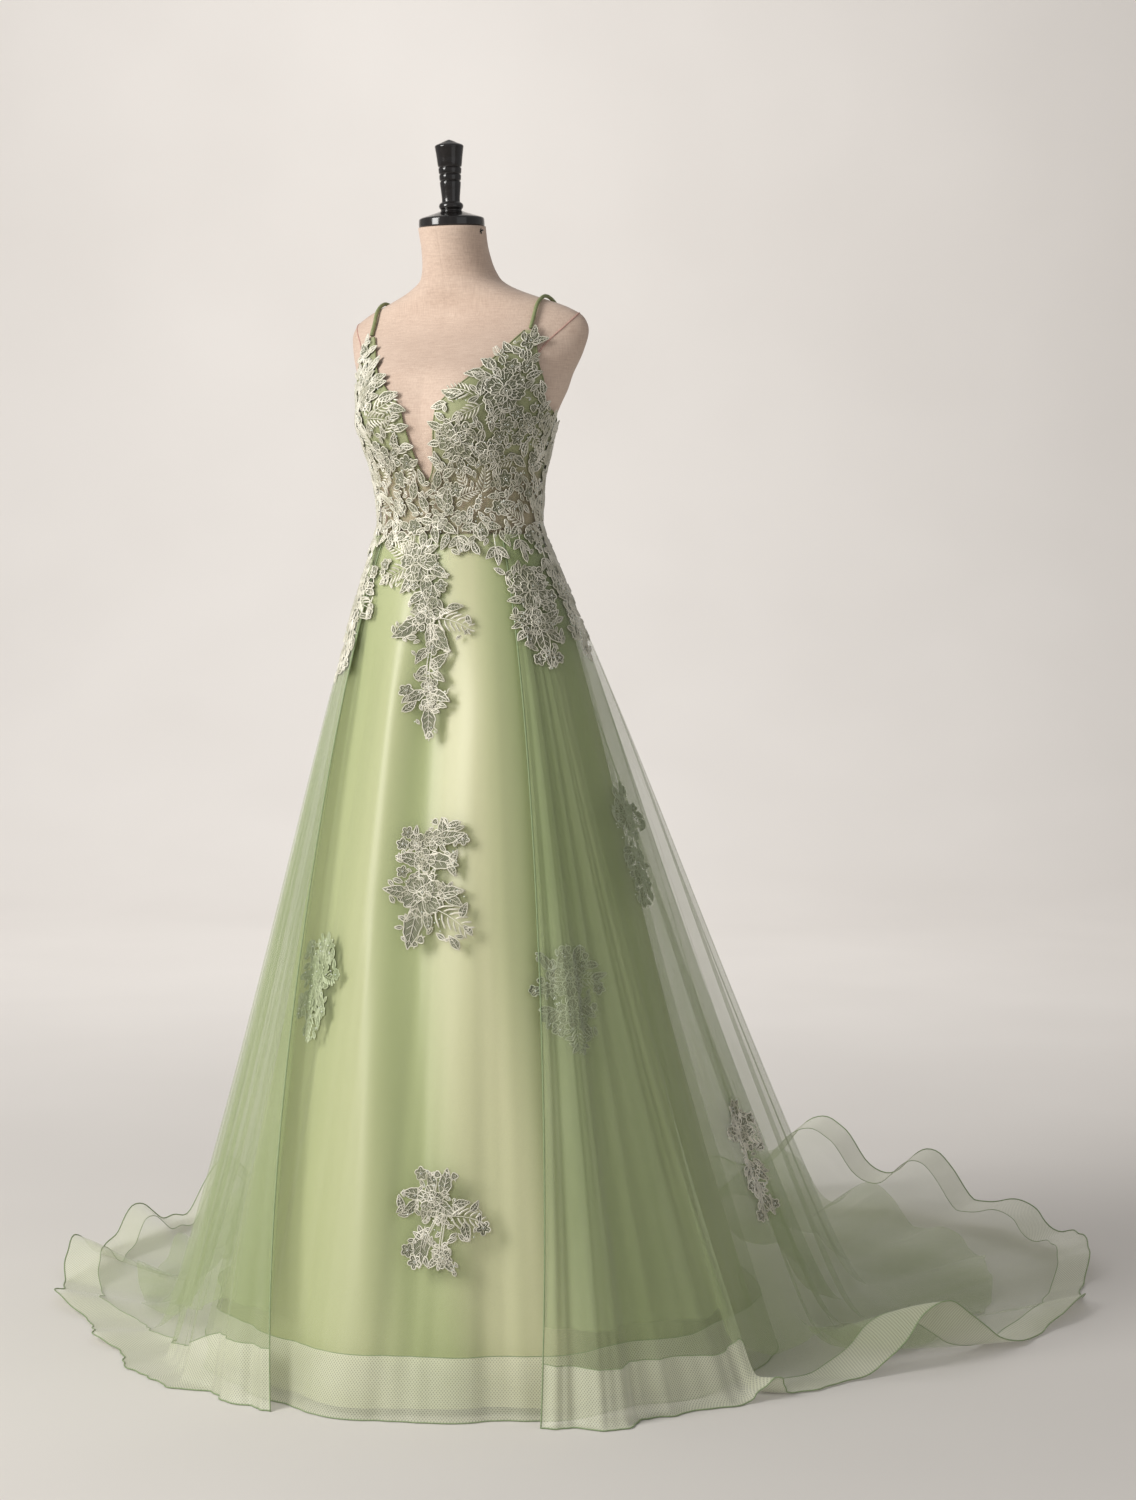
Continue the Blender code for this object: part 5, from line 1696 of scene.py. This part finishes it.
    def fern(self, spot):
        """Pairs of fat stitches along a bent rib."""
        bend = self.draw.choice((-1, 1)) * self.draw.uniform(0.10, 0.22)
        rib = [(a, bend * (1 - a * a)) for a in (-1.0, -0.6, -0.2, 0.2, 0.6, 0.95)]
        self.cord(spot, rib, CORD_RADIUS * 0.8)
        pairs = 6 if spot[2] > 0.017 else 5
        for k in range(pairs):
            a = -0.72 + 1.5 * k / (pairs - 1)
            side = bend * (1 - a * a)
            reach = 0.52 * (1.1 - 0.55 * k / (pairs - 1))
            for way in (1, -1):
                line = [
                    (a + 0.04, side + way * 0.06),
                    (a + 0.20 * reach / 0.5, side + way * reach * 0.55),
                    (a + 0.52 * reach / 0.5, side + way * reach),
                ]
                self.cord(spot, line, 0.00125, lift=0.0003, taper=0.25)
        self.cord(spot, [(0.8, bend * 0.3), (1.0, 0.0), (1.2, 0.0)], 0.00115, taper=0.3)

    def blossom(self, spot):
        """A flat flower of five petals."""
        turn = self.draw.uniform(0.0, FULL_TURN)

        def radius_at(around):
            return 0.42 + 0.58 * abs(math.cos(2.5 * (around + turn))) ** 0.5

        outline = circle_of(radius_at, 40)
        self.fill(spot, outline)
        self.cord(spot, outline)
        for k in range(5):
            around = -turn + 2 * math.pi * k / 5
            vein = [(r * math.cos(around), r * math.sin(around)) for r in (0.34, 0.78)]
            self.cord(spot, vein, VEIN_RADIUS)
        self.cord(spot, circle_of(lambda around: 0.26, 10), VEIN_RADIUS, lift=0.0004)
        self.bead(self.flat(spot, [(0.0, 0.0)])[0], 0.0004)

    def bud(self, spot):
        """A round bud with three short stitches at its foot."""
        outline = circle_of(lambda around: 0.72 - 0.10 * math.cos(3 * around), 18)
        self.fill(spot, outline)
        self.cord(spot, outline)
        swirl = [(0.35, 0.1), (0.0, 0.3), (-0.3, 0.0), (0.0, -0.25), (0.2, 0.0)]
        self.cord(spot, swirl, VEIN_RADIUS, lift=0.0003)
        for way in (-1, 0, 1):
            tilt = 0.7 * way
            line = [(-r * math.cos(tilt), r * math.sin(tilt)) for r in (0.6, 1.25)]
            self.cord(spot, line, 0.0011, taper=0.3)

    def curl(self, spot):
        """A tendril that winds in on itself."""
        line = [(-1.2, 0.0), (-0.5, 0.12)]
        for k in range(10):
            around = 0.6 * k - 1.57
            reach = 0.62 - 0.045 * k
            line.append((0.25 + reach * math.cos(around), 0.45 + reach * math.sin(around)))
        self.cord(spot, line)
        self.bead(self.flat(spot, [(0.25, 0.45)])[0])

    def stem(self, spot):
        """Two cords side by side with leaves on both sides."""
        for way in (-0.05, 0.05):
            self.cord(spot, [(a, way + 0.07 * math.sin(2.6 * a)) for a in (-1.1, -0.5, 0.0, 0.5, 1.1)])
        for k, a in enumerate((-0.55, 0.0, 0.55)):
            way = 1 if k % 2 else -1
            place = self.flat(spot, [(a + 0.12, way * 0.20)])[0]
            self.leaf((place.x, place.y, LEAFLET, spot[3] + 50 * way))

    def sprig(self, spot):
        """Three leaves on a stalk."""
        size, turn = spot[2:]
        self.cord(spot, [(-1.0, 0.0), (-0.2, 0.04)])
        for way, reach in ((-48, 0.60), (0, 0.72), (48, 0.60)):
            tilt = math.radians(way)
            along = -0.1 + reach * math.cos(tilt) * 0.8
            place = self.flat(spot, [(along, reach * math.sin(tilt) * 0.8)])[0]
            self.leaf((place.x, place.y, size * 0.52, turn + way))

    def put(self, kind, *spot):
        self.order += 1
        getattr(self, kind)(spot)

    def finish(self, name, nodes, looks=PLAIN_LACE):
        """The piece's three meshes: fills stand for the solid, cords and beads ride with them."""
        mesh = mesh_of(name, self.fill_points, self.fill_faces)
        layer = mesh.uv_layers.new(name="UVMap")
        for loop in mesh.loops:
            layer.data[loop.index].uv = self.fill_uvs[loop.vertex_index]
        add_piece(name, mesh, [looks[0]], stands_for=nodes)
        mesh = mesh_of(name + "_cords", self.cord_points, self.cord_faces)
        add_piece(name + "_cords", mesh, [looks[1]])
        add_beads(name + "_beads", self.beads)


def add_beads(name, places):
    """Round beads of six sides and three rings."""
    points = []
    faces = []
    rings = ((0.75, 0.66), (1.0, 0.0), (0.75, -0.66))
    for place in places:
        start = len(points)
        points.append(place + Vector((0.0, 0.0, BEAD_RADIUS)))
        for wide, up in rings:
            for k in range(6):
                turn = math.radians(60.0 * k)
                rim = Vector((wide * math.cos(turn), wide * math.sin(turn), up))
                points.append(place + rim * BEAD_RADIUS)
        points.append(place - Vector((0.0, 0.0, BEAD_RADIUS)))
        for k in range(6):
            d = (k + 1) % 6
            faces.append((start, start + 1 + k, start + 1 + d))
            for ring in (0, 6):
                a = start + 1 + ring
                faces.append((a + k, a + k + 6, a + d + 6, a + d))
            faces.append((start + 19, start + 13 + d, start + 13 + k))
    add_piece(name, mesh_of(name, points, faces), [BEAD])


# How far out each kind reaches, as a share of its size
REACH = {
    "rose": 1.0,
    "leaf": 0.62,
    "fern": 0.80,
    "blossom": 0.95,
    "bud": 0.85,
    "curl": 0.80,
    "stem": 0.5,
    "sprig": 0.8,
}


def in_rings(rings, x, y, reach, own, other=1.0):
    """Whether a place comes nearer to a ring than shares of the two reaches allow."""
    for a, b, r in rings:
        if (x - a) ** 2 + (y - b) ** 2 < (own * reach + other * r) ** 2:
            return True
    return False


def under_edge(edge, x, y, margin):
    """Whether a place lies below a line of points, less than a margin over it."""
    for a, b in zip(edge, edge[1:]):
        if a.x <= x <= b.x:
            if y < a.y + (b.y - a.y) * (x - a.x) / max(0.0001, b.x - a.x) + margin:
                return True
    return False


def scatter_beads(lace, allowed, count, box):
    """Beads at chance places in a box, where they are allowed."""
    low_x, high_x, low_y, high_y = box
    for _ in range(count):
        x = lace.draw.uniform(low_x, high_x)
        y = lace.draw.uniform(low_y, high_y)
        if allowed(x, y, BEAD_REACH):
            lace.bead(Vector((x, y)))


def scatter(lace, allowed, box, placed, kinds, tries, close):
    """Fills what is left between the placed motifs, the larger kinds first."""
    low_x, high_x, low_y, high_y = box
    for kind, size, wanted in kinds:
        got = 0
        for _ in range(tries):
            if got == wanted:
                break
            x = lace.draw.uniform(low_x, high_x)
            y = lace.draw.uniform(low_y, high_y)
            scale = size * lace.draw.uniform(0.85, 1.15)
            turn = lace.draw.uniform(0.0, 360.0)
            reach = scale * REACH[kind]
            if not allowed(x, y, reach) or in_rings(placed, x, y, reach, close, close):
                continue
            lace.put(kind, x, y, scale, turn)
            placed.append((x, y, reach))
            got += 1


def cloth_tree(names):
    """The named pieces as one tree, for laying lace on."""
    points = []
    faces = []
    for name in names:
        mesh = bpy.data.objects[name].data
        shift = len(points)
        points += [v.co.copy() for v in mesh.vertices]
        faces += [tuple(v + shift for v in face.vertices) for face in mesh.polygons]
    return BVHTree.FromPolygons(points, faces)


INNER_CLOTH = ["tulle_skirt", "inner_overlay_left", "inner_overlay_train", "inner_overlay_right"]
SKIRT_CLOTH = [
    "tulle_skirt", "tulle_skirt_braid", "outer_overlay_left", "outer_overlay_train", "outer_overlay_right",
    "outer_overlay_left_braid", "outer_overlay_train_braid", "outer_overlay_right_braid",
]

# Bodice lace, wearer's left: motif, distance round from the centre front, height, size, heading from up
BODICE_LEFT = (
    ("rose", 0.115, 1.417, 0.030, 0),
    ("rose", 0.056, 1.347, 0.027, 20),
    ("rose", 0.103, 1.333, 0.020, 50),
    ("rose", 0.156, 1.372, 0.017, 80),
    ("fern", 0.058, 1.411, 0.019, -80),
    ("leaf", 0.080, 1.437, 0.014, -75),
    ("leaf", 0.088, 1.452, 0.011, -40),
    ("fern", 0.075, 1.388, 0.018, -120),
    ("leaf", 0.023, 1.320, 0.015, -12),
    ("leaf", 0.018, 1.296, 0.014, 15),
    ("leaf", 0.038, 1.303, 0.012, 60),
    ("leaf", 0.034, 1.380, 0.009, -60),
    ("fern", 0.088, 1.290, 0.020, 15),
    ("fern", 0.062, 1.272, 0.018, 70),
    ("fern", 0.150, 1.238, 0.022, -60),
    ("leaf", 0.030, 1.268, 0.018, 8),
    ("leaf", 0.016, 1.262, 0.014, -30),
    ("rose", 0.047, 1.238, 0.013, 0),
    ("rose", 0.014, 1.232, 0.013, 0),
    ("blossom", 0.126, 1.295, 0.013, 0),
    ("blossom", 0.112, 1.254, 0.012, 0),
    ("blossom", 0.180, 1.325, 0.012, 0),
    ("blossom", 0.175, 1.275, 0.012, 0),
    ("leaf", 0.195, 1.375, 0.013, 20),
    ("leaf", 0.196, 1.345, 0.013, -10),
    ("leaf", 0.178, 1.397, 0.012, 40),
    ("leaf", 0.150, 1.440, 0.012, 60),
    ("blossom", 0.123, 1.487, 0.013, 0),
    ("leaf", 0.120, 1.502, 0.010, -5),
    ("leaf", 0.137, 1.488, 0.011, 70),
    ("leaf", 0.109, 1.474, 0.010, -60),
    ("leaf", 0.129, 1.465, 0.011, 150),
    ("blossom", 0.135, 1.452, 0.010, 0),
    ("fern", 0.088, 1.470, 0.010, -50),
    ("leaf", 0.010, 1.213, 0.014, 165),
    ("leaf", 0.030, 1.222, 0.015, 120),
    ("leaf", 0.024, 1.203, 0.013, 200),
    ("leaf", 0.064, 1.224, 0.014, 80),
    ("blossom", 0.084, 1.220, 0.012, 0),
    ("leaf", 0.104, 1.226, 0.013, 100),
    ("sprig", 0.046, 1.208, 0.022, 175),
    ("sprig", 0.103, 1.192, 0.024, 180),
    ("sprig", 0.148, 1.202, 0.021, 185),
    ("sprig", 0.197, 1.176, 0.024, 178),
    ("leaf", 0.076, 1.214, 0.012, 150),
    ("leaf", 0.126, 1.218, 0.012, 200),
    ("blossom", 0.172, 1.212, 0.012, 0),
)

# The same for the wearer's right, given as if it were the left
BODICE_RIGHT = (
    ("rose", 0.090, 1.418, 0.024, 0),
    ("rose", 0.136, 1.376, 0.020, 40),
    ("rose", 0.073, 1.332, 0.018, 10),
    ("fern", 0.052, 1.398, 0.021, -60),
    ("fern", 0.064, 1.378, 0.020, -95),
    ("fern", 0.046, 1.372, 0.016, -40),
    ("leaf", 0.066, 1.437, 0.014, -75),
    ("leaf", 0.082, 1.462, 0.011, -35),
    ("leaf", 0.040, 1.350, 0.012, -15),
    ("fern", 0.100, 1.352, 0.018, 30),
    ("blossom", 0.028, 1.319, 0.012, 0),
    ("blossom", 0.048, 1.296, 0.012, 0),
    ("leaf", 0.010, 1.298, 0.012, 10),
    ("leaf", 0.026, 1.282, 0.016, -20),
    ("leaf", 0.012, 1.262, 0.016, 20),
    ("leaf", 0.034, 1.255, 0.013, 50),
    ("rose", 0.060, 1.256, 0.014, 0),
    ("fern", 0.110, 1.300, 0.020, -10),
    ("fern", 0.096, 1.262, 0.019, 60),
    ("blossom", 0.150, 1.320, 0.013, 0),
    ("blossom", 0.134, 1.262, 0.012, 0),
    ("leaf", 0.180, 1.350, 0.014, 5),
    ("leaf", 0.190, 1.380, 0.013, 20),
    ("fern", 0.170, 1.245, 0.020, -30),
    ("leaf", 0.110, 1.455, 0.012, -20),
    ("blossom", 0.122, 1.484, 0.012, 0),
    ("leaf", 0.120, 1.500, 0.010, 0),
    ("leaf", 0.106, 1.478, 0.010, -60),
    ("leaf", 0.134, 1.470, 0.010, 100),
    ("sprig", 0.122, 1.208, 0.020, 180),
    ("sprig", 0.158, 1.206, 0.019, 180),
    ("sprig", 0.196, 1.200, 0.020, 180),
    ("blossom", 0.030, 1.226, 0.013, 0),
    ("leaf", 0.012, 1.206, 0.014, 190),
    ("leaf", 0.010, 1.234, 0.013, 80),
    ("fern", 0.036, 1.204, 0.018, 150),
    ("leaf", 0.052, 1.228, 0.013, 70),
    ("leaf", 0.056, 1.209, 0.014, 110),
    ("leaf", 0.074, 1.226, 0.012, 40),
    ("blossom", 0.078, 1.208, 0.012, 0),
    ("leaf", 0.092, 1.230, 0.013, 110),
    ("leaf", 0.098, 1.211, 0.013, 150),
    ("leaf", 0.112, 1.224, 0.012, 60),
)

# Small motifs that close the bodice lace: motif, size, number
BODICE_KINDS = (
    ("fern", 0.016, 6),
    ("blossom", 0.011, 8),
    ("leaf", 0.0125, 20),
    ("leaf", 0.0095, 34),
    ("bud", 0.0070, 14),
    ("leaf", 0.0070, 48),
    ("curl", 0.0050, 26),
    ("leaf", 0.0055, 40),
)

# Leaf tips over the neckline: height, heading from up, size
TIPS_LEFT = (
    (1.478, -50, 0.011),
    (1.452, -62, 0.013),
    (1.437, -88, 0.014),
    (1.412, -80, 0.015),
    (1.394, -105, 0.012),
    (1.370, -70, 0.012),
    (1.344, -95, 0.010),
    (1.322, -60, 0.010),
)
TIPS_RIGHT = (
    (1.484, -70, 0.010),
    (1.456, -55, 0.013),
    (1.430, -85, 0.014),
    (1.409, -70, 0.015),
    (1.391, -100, 0.013),
    (1.366, -75, 0.011),
    (1.342, -95, 0.010),
    (1.320, -65, 0.009),
)


# Roses on the back's lace: distance round from the centre front, height, size
BACK_ROSES = (
    (0.262, 1.330, 0.024),
    (0.330, 1.268, 0.022),
    (0.395, 1.262, 0.020),
    (0.238, 1.262, 0.020),
)
LACE_SIDE = 0.213
LACE_LOW = 1.15
LACE_HIGH = 1.497
WINDOW_EDGE = 0.45
TRIES = 2600
CLOSE = 0.72


def lay_bodice(side, tree):
    """Lace over one front of the bodice, its leaves past the neckline and the waist seam."""

    def seat(flat):
        return bodice_seat(tree, Vector((side * flat.x, flat.y)))

    lace = Lace(seat, 11 if side > 0 else 12)
    rows = BODICE_LEFT if side > 0 else BODICE_RIGHT
    placed = []
    for kind, across, height, size, turn in rows:
        lace.put(kind, across, height, size, turn)
        placed.append((across, height, size * REACH[kind]))
    for height, turn, size in TIPS_LEFT if side > 0 else TIPS_RIGHT:
        across = LACE_ROUND * math.radians(front_edge_angle(height)) + 0.25 * size
        lace.put("leaf", across, height, size, turn)
        placed.append((across, height, 0.5 * size))
    fringe = [Vector(row) for row in (FRINGE_LEFT if side > 0 else FRINGE_RIGHT)]
    below = [Vector((0.0, 1.218))] + fringe + [Vector((0.216, 1.2))]
    windows = [(x, y, half * 0.75) for x, y, half in BODICE_WINDOWS]

    def allowed(x, y, reach):
        if y > LACE_HIGH or y < LACE_LOW or x > 0.212:
            return False
        neck = LACE_ROUND * math.radians(front_edge_angle(y)) if y > V_BOTTOM_Z else 0.001
        bare = 0.006 if y > V_BOTTOM_Z + 0.01 else 0.0
        arm = LACE_ROUND * math.radians(ARMHOLE(y)[0]) if y > UNDERARM_Z else LACE_SIDE
        if x < neck + bare + 0.4 * reach or x > arm - 0.35 * reach:
            return False
        if y < WAIST_Z + 0.02 and under_edge(below, x, y, 0.35 * reach - FRINGE_PAST):
            return False
        return not in_rings(windows, x, y, reach, WINDOW_EDGE)

    scatter(lace, allowed, (0.0, LACE_SIDE, LACE_LOW, LACE_HIGH), placed, BODICE_KINDS, TRIES, CLOSE)
    scatter_beads(lace, allowed, 150, (0.004, 0.208, 1.20, 1.49))
    word = "left" if side > 0 else "right"
    lace.finish("embroidery_bodice_" + word, ("lace_bodice_" + word,))


def lay_back(tree):
    """Lace over the low back, the same on both sides of the centre but for its small motifs."""
    lace = Lace(lambda flat: bodice_seat(tree, flat), 13)
    half_turn = math.pi * LACE_ROUND
    placed = []
    fringe = [Vector(row) for row in FRINGE_BACK]
    fringe += [Vector((2 * half_turn - p.x, p.y)) for p in fringe[::-1]]
    for x, y in FRINGE_BACK[2::4]:
        for across, way in ((x, 1), (2 * half_turn - x, -1)):
            lace.put("sprig", across, y + 0.022, 0.022, 180 - 4 * way)
            placed.append((across, y + 0.02, 0.018))
    for x, y, size in BACK_ROSES:
        for across in (x, 2 * half_turn - x):
            lace.put("rose", across, y, size, 0)
            placed.append((across, y, size))
    windows = [(x, y, half * 0.7) for x, y, half in BACK_WINDOWS]
    windows += [(2 * half_turn - a, b, r) for a, b, r in windows]

    def allowed(x, y, reach):
        angle = math.degrees(x / LACE_ROUND)
        top = back_top(min(angle, 360.0 - angle))
        if y > top - 0.3 * reach or under_edge(fringe, x, y, 0.35 * reach):
            return False
        return not in_rings(windows, x, y, reach, WINDOW_EDGE)

    kinds = [(kind, size, 2 * wanted) for kind, size, wanted in BODICE_KINDS]
    box = (fringe[0].x, fringe[-1].x, 1.16, UNDERARM_Z)
    scatter(lace, allowed, box, placed, kinds, TRIES, CLOSE)
    scatter_beads(lace, allowed, 160, (fringe[0].x, fringe[-1].x, 1.20, 1.38))
    lace.finish("embroidery_back", ("lace_back",))


# Small motifs that fill out each spray: motif, size, number
SPRAY_KINDS = (
    ("leaf", 0.0105, 5),
    ("blossom", 0.0090, 4),
    ("bud", 0.0065, 5),
    ("leaf", 0.0070, 16),
    ("curl", 0.0050, 4),
    ("leaf", 0.0050, 24),
)
SPRAY_TRIES = 900
SPRAY_CLOSE = 0.78
SPRAY_BEADS = 26
SPRAY_PAST = 0.03


def lay_spray(name, centre, rows, tree, nodes, seed, looks=PLAIN_LACE):
    """A spray of lace on the skirts: the solid's motifs in full, with small leaves and buds round them."""

    def seat(flat):
        middle = outermost(tree, centre, flat.y, 0.0)
        turn = centre + math.degrees(flat.x / math.hypot(middle.x, middle.y))
        return skirt_seat(tree, turn, flat.y, 1.0, APPLIQUE_GAP)

    lace = Lace(seat, seed)
    placed = []
    for kind, across, height, size, turn in rows:
        lace.put(kind, across, height, size, turn)
        placed.append((across, height, size * REACH[kind]))
    solid = list(placed)

    def allowed(x, y, reach):
        near = min(math.hypot(x - a, y - b) - r for a, b, r in solid)
        return near < reach * 0.8 and y + 1.5 * reach < WAIST_Z - 0.006

    xs = [row[1] for row in rows]
    ys = [row[2] for row in rows]
    past = SPRAY_PAST
    box = (min(xs) - past, max(xs) + past, min(ys) - past, max(ys) + past)
    scatter(lace, allowed, box, placed, SPRAY_KINDS, SPRAY_TRIES, SPRAY_CLOSE)
    for _ in range(SPRAY_BEADS):
        a, b, r = lace.draw.choice(solid)
        turn = lace.draw.uniform(0.0, FULL_TURN)
        reach = r * lace.draw.uniform(0.3, 1.7)
        height = min(b + reach * math.sin(turn), WAIST_Z - 0.008)
        lace.bead(Vector((a + reach * math.cos(turn), height)), -0.0004)
    lace.finish(name, nodes, looks)


# Small leaves that close the cascade round its stem
CASCADE_MORE = (
    ("leaf", 0.004, 1.068, 0.014, 185),
    ("blossom", 0.011, 1.053, 0.012, 0),
    ("leaf", -0.005, 1.040, 0.014, 215),
    ("leaf", 0.016, 1.026, 0.012, 150),
    ("leaf", -0.004, 1.018, 0.012, 225),
    ("leaf", 0.022, 1.010, 0.012, 120),
    ("blossom", 0.004, 1.128, 0.013, 0),
    ("leaf", -0.020, 1.122, 0.014, -130),
)

# Other sprays on the skirts: motif, distance from the spray's middle, height over it, size, heading
VEILED_SPRAY = (
    ("rose", 0.000, 0.024, 0.026, 0),
    ("leaf", -0.028, 0.050, 0.016, -30),
    ("leaf", 0.018, 0.056, 0.017, 30),
    ("blossom", -0.004, 0.056, 0.012, 0),
    ("fern", 0.030, 0.020, 0.020, 100),
    ("leaf", -0.032, 0.012, 0.016, -100),
    ("rose", -0.006, -0.022, 0.020, 0),
    ("leaf", 0.022, -0.020, 0.017, 130),
    ("leaf", -0.030, -0.028, 0.015, -140),
    ("fern", 0.004, -0.056, 0.020, 175),
    ("leaf", 0.022, -0.046, 0.013, 150),
)
LONG_SPRAY = (
    ("leaf", 0.000, 0.078, 0.016, 5),
    ("rose", 0.000, 0.050, 0.022, 0),
    ("leaf", -0.024, 0.052, 0.014, -70),
    ("fern", 0.024, 0.040, 0.020, 110),
    ("stem", -0.002, 0.014, 0.024, 180),
    ("blossom", 0.002, -0.008, 0.013, 0),
    ("leaf", -0.016, -0.014, 0.014, -130),
    ("leaf", 0.016, -0.020, 0.014, 130),
    ("rose", -0.002, -0.036, 0.016, 0),
    ("leaf", 0.010, -0.060, 0.016, 160),
    ("leaf", -0.010, -0.064, 0.014, 200),
)
SIDE_SPRAY = (
    ("leaf", 0.000, 0.072, 0.018, 0),
    ("rose", 0.002, 0.044, 0.020, 0),
    ("leaf", -0.016, 0.024, 0.016, -150),
    ("leaf", 0.016, 0.018, 0.016, 160),
    ("rose", 0.000, -0.004, 0.016, 0),
    ("fern", 0.006, -0.034, 0.020, 178),
    ("leaf", -0.012, -0.040, 0.014, 200),
    ("leaf", 0.004, -0.066, 0.014, 180),
)


# Where those sprays lie: name, angle, motifs, height, cloth below, seed, looks
MORE_SPRAYS = (
    # The veiled sprays take the cords dimmed by painted shade.
    ("veiled_right", -34.0, VEILED_SPRAY, 0.566, "tulle", 30, VEILED_SHADED_LACE),
    ("veiled_left", 61.0, VEILED_SPRAY, 0.566, "inner", 31, SHADED_LACE),
    ("veiled_side", 97.0, LONG_SPRAY, 0.758, "inner", 32, SHADED_LACE),
    ("train_side", 105.0, LONG_SPRAY, 0.300, "outer", 33, PLAIN_LACE),
    ("side_seam", 97.0, SIDE_SPRAY, 1.115, "outer", 34, PLAIN_LACE),
)


def raised(rows, height):
    """A spray's rows moved up to a height."""
    return [(kind, across, up + height, size, turn) for kind, across, up, size, turn in rows]


def build_lace():
    """Bodice lace, the sprays that stand for a solid, and the smaller ones that do not."""
    everything = cloth_tree(SKIRT_CLOTH)
    tulle = cloth_tree(INNER_CLOTH[:1])
    inner = cloth_tree(INNER_CLOTH)
    for side in (1, -1):
        lay_bodice(side, everything)
    lay_back(everything)
    for seed, (name, centre, rows) in enumerate(APPLIQUES):
        more = CASCADE_MORE if rows is CASCADE else ()
        lay_spray("embroidery_" + name[5:], centre, rows + more, everything, (name,), 20 + seed)
    for name, angle, rows, height, cloth, seed, looks in MORE_SPRAYS:
        tree = {"tulle": tulle, "inner": inner, "outer": everything}[cloth]
        lay_spray("embroidery_" + name, angle, raised(rows, height), tree, (), seed, looks)


build_lace()


# Floor, light and camera

CAMERA_TURN = 25.0
CAMERA_AWAY = 4.0
CAMERA_HEIGHT = 1.12
CAMERA_SIDE = 0.1588
CAMERA_DOWN = 3.15
FOCAL_PIXELS = 2720.0
PICTURE_HEIGHT = 1500.0
FLOOR_START = -9.0
FLOOR_END = 5.4
FLOOR_CURVE = 2.8
FLOOR_HALF = 12.0
WALL_TOP = 9.0


def look_stage():
    """Pale studio floor and wall."""
    look = Look("pale_studio", 0.95)
    wear = noise(look, look.coordinates("Object"), 1.2, 2.0)
    look.colour(wear, "Fac", ((0.3, (0.735, 0.70, 0.665)), (0.7, (0.765, 0.73, 0.695))))
    look.shader.inputs["Specular IOR Level"].default_value = 0.2
    return look.material


def build_stage():
    """A floor that curves up into a wall behind, square to the camera."""
    turn = math.radians(CAMERA_TURN)
    away = Vector((-math.sin(turn), math.cos(turn), 0.0))
    side = Vector((math.cos(turn), math.sin(turn), 0.0))
    line = [(FLOOR_START, 0.0), (FLOOR_END, 0.0)]
    for k in range(1, 25):
        bend = math.radians(90.0 * k / 24)
        line.append((FLOOR_END + FLOOR_CURVE * math.sin(bend), FLOOR_CURVE * (1 - math.cos(bend))))
    line.append((FLOOR_END + FLOOR_CURVE, WALL_TOP))
    rows = []
    for reach, z in line:
        middle = away * reach + Vector((0.0, 0.0, z))
        rows.append([middle + side * FLOOR_HALF, middle - side * FLOOR_HALF])
    mesh = sheet_mesh("studio_floor", rows)
    floor = bpy.data.objects.new("studio_floor", mesh)
    bpy.context.scene.collection.objects.link(floor)
    mesh.materials.append(look_stage())
    for face in mesh.polygons:
        face.use_smooth = True


def add_light(name, place, target, size, power, colour):
    lamp = bpy.data.lights.new(name, "AREA")
    lamp.shape = "RECTANGLE"
    lamp.size, lamp.size_y = size
    lamp.energy = power
    lamp.color = colour
    made = bpy.data.objects.new(name, lamp)
    bpy.context.scene.collection.objects.link(made)
    made.location = place
    made.rotation_euler = (Vector(target) - Vector(place)).to_track_quat("-Z", "Y").to_euler()


def from_camera(side, away, z):
    """A place given to the right of the camera's line, away from the camera past the dress, and up."""
    turn = math.radians(CAMERA_TURN)
    return (
        side * math.cos(turn) - away * math.sin(turn),
        side * math.sin(turn) + away * math.cos(turn),
        z,
    )


# Lights: name, place, where they point, size, power, colour; places as side, away and height
LIGHTS = (
    ("key", (-3.1, -2.0, 2.6), (0.0, 0.0, 0.80), (1.6, 2.4), 150.0, (1.0, 0.99, 0.965)),
    ("fill", (2.6, -3.4, 1.8), (0.2, 0.1, 0.8), (2.6, 2.6), 9.0, (0.96, 0.98, 1.0)),
    ("wall_wash", (-0.8, 3.6, 4.6), (-0.2, 7.6, 1.0), (4.6, 2.2), 185.0, (1.0, 0.995, 0.99)),
)
AIR_COLOUR = (1.0, 0.99, 0.98, 1.0)
AIR_STRENGTH = 0.345


def build_lights():
    """A soft key light, a weak fill, a light on the wall, and pale air."""
    for name, place, target, size, power, colour in LIGHTS:
        add_light(name, from_camera(*place), from_camera(*target), size, power, colour)
    world = bpy.data.worlds.new("studio_air")
    bpy.context.scene.world = world
    world.use_nodes = True
    air = world.node_tree.nodes["Background"]
    air.inputs["Color"].default_value = AIR_COLOUR
    air.inputs["Strength"].default_value = AIR_STRENGTH
    bpy.context.scene.view_settings.view_transform = "Standard"


def build_camera():
    """The camera at the photo's angle."""
    data = bpy.data.cameras.new("photo_view")
    data.sensor_width = 36.0
    data.lens = FOCAL_PIXELS / PICTURE_HEIGHT * 36.0
    data.clip_end = 60.0
    camera = bpy.data.objects.new("photo_view", data)
    bpy.context.scene.collection.objects.link(camera)
    camera.location = from_camera(CAMERA_SIDE, -CAMERA_AWAY, CAMERA_HEIGHT)
    camera.rotation_euler = (math.radians(90.0 - CAMERA_DOWN), 0.0, math.radians(CAMERA_TURN))
    bpy.context.scene.camera = camera


build_stage()
build_lights()
build_camera()
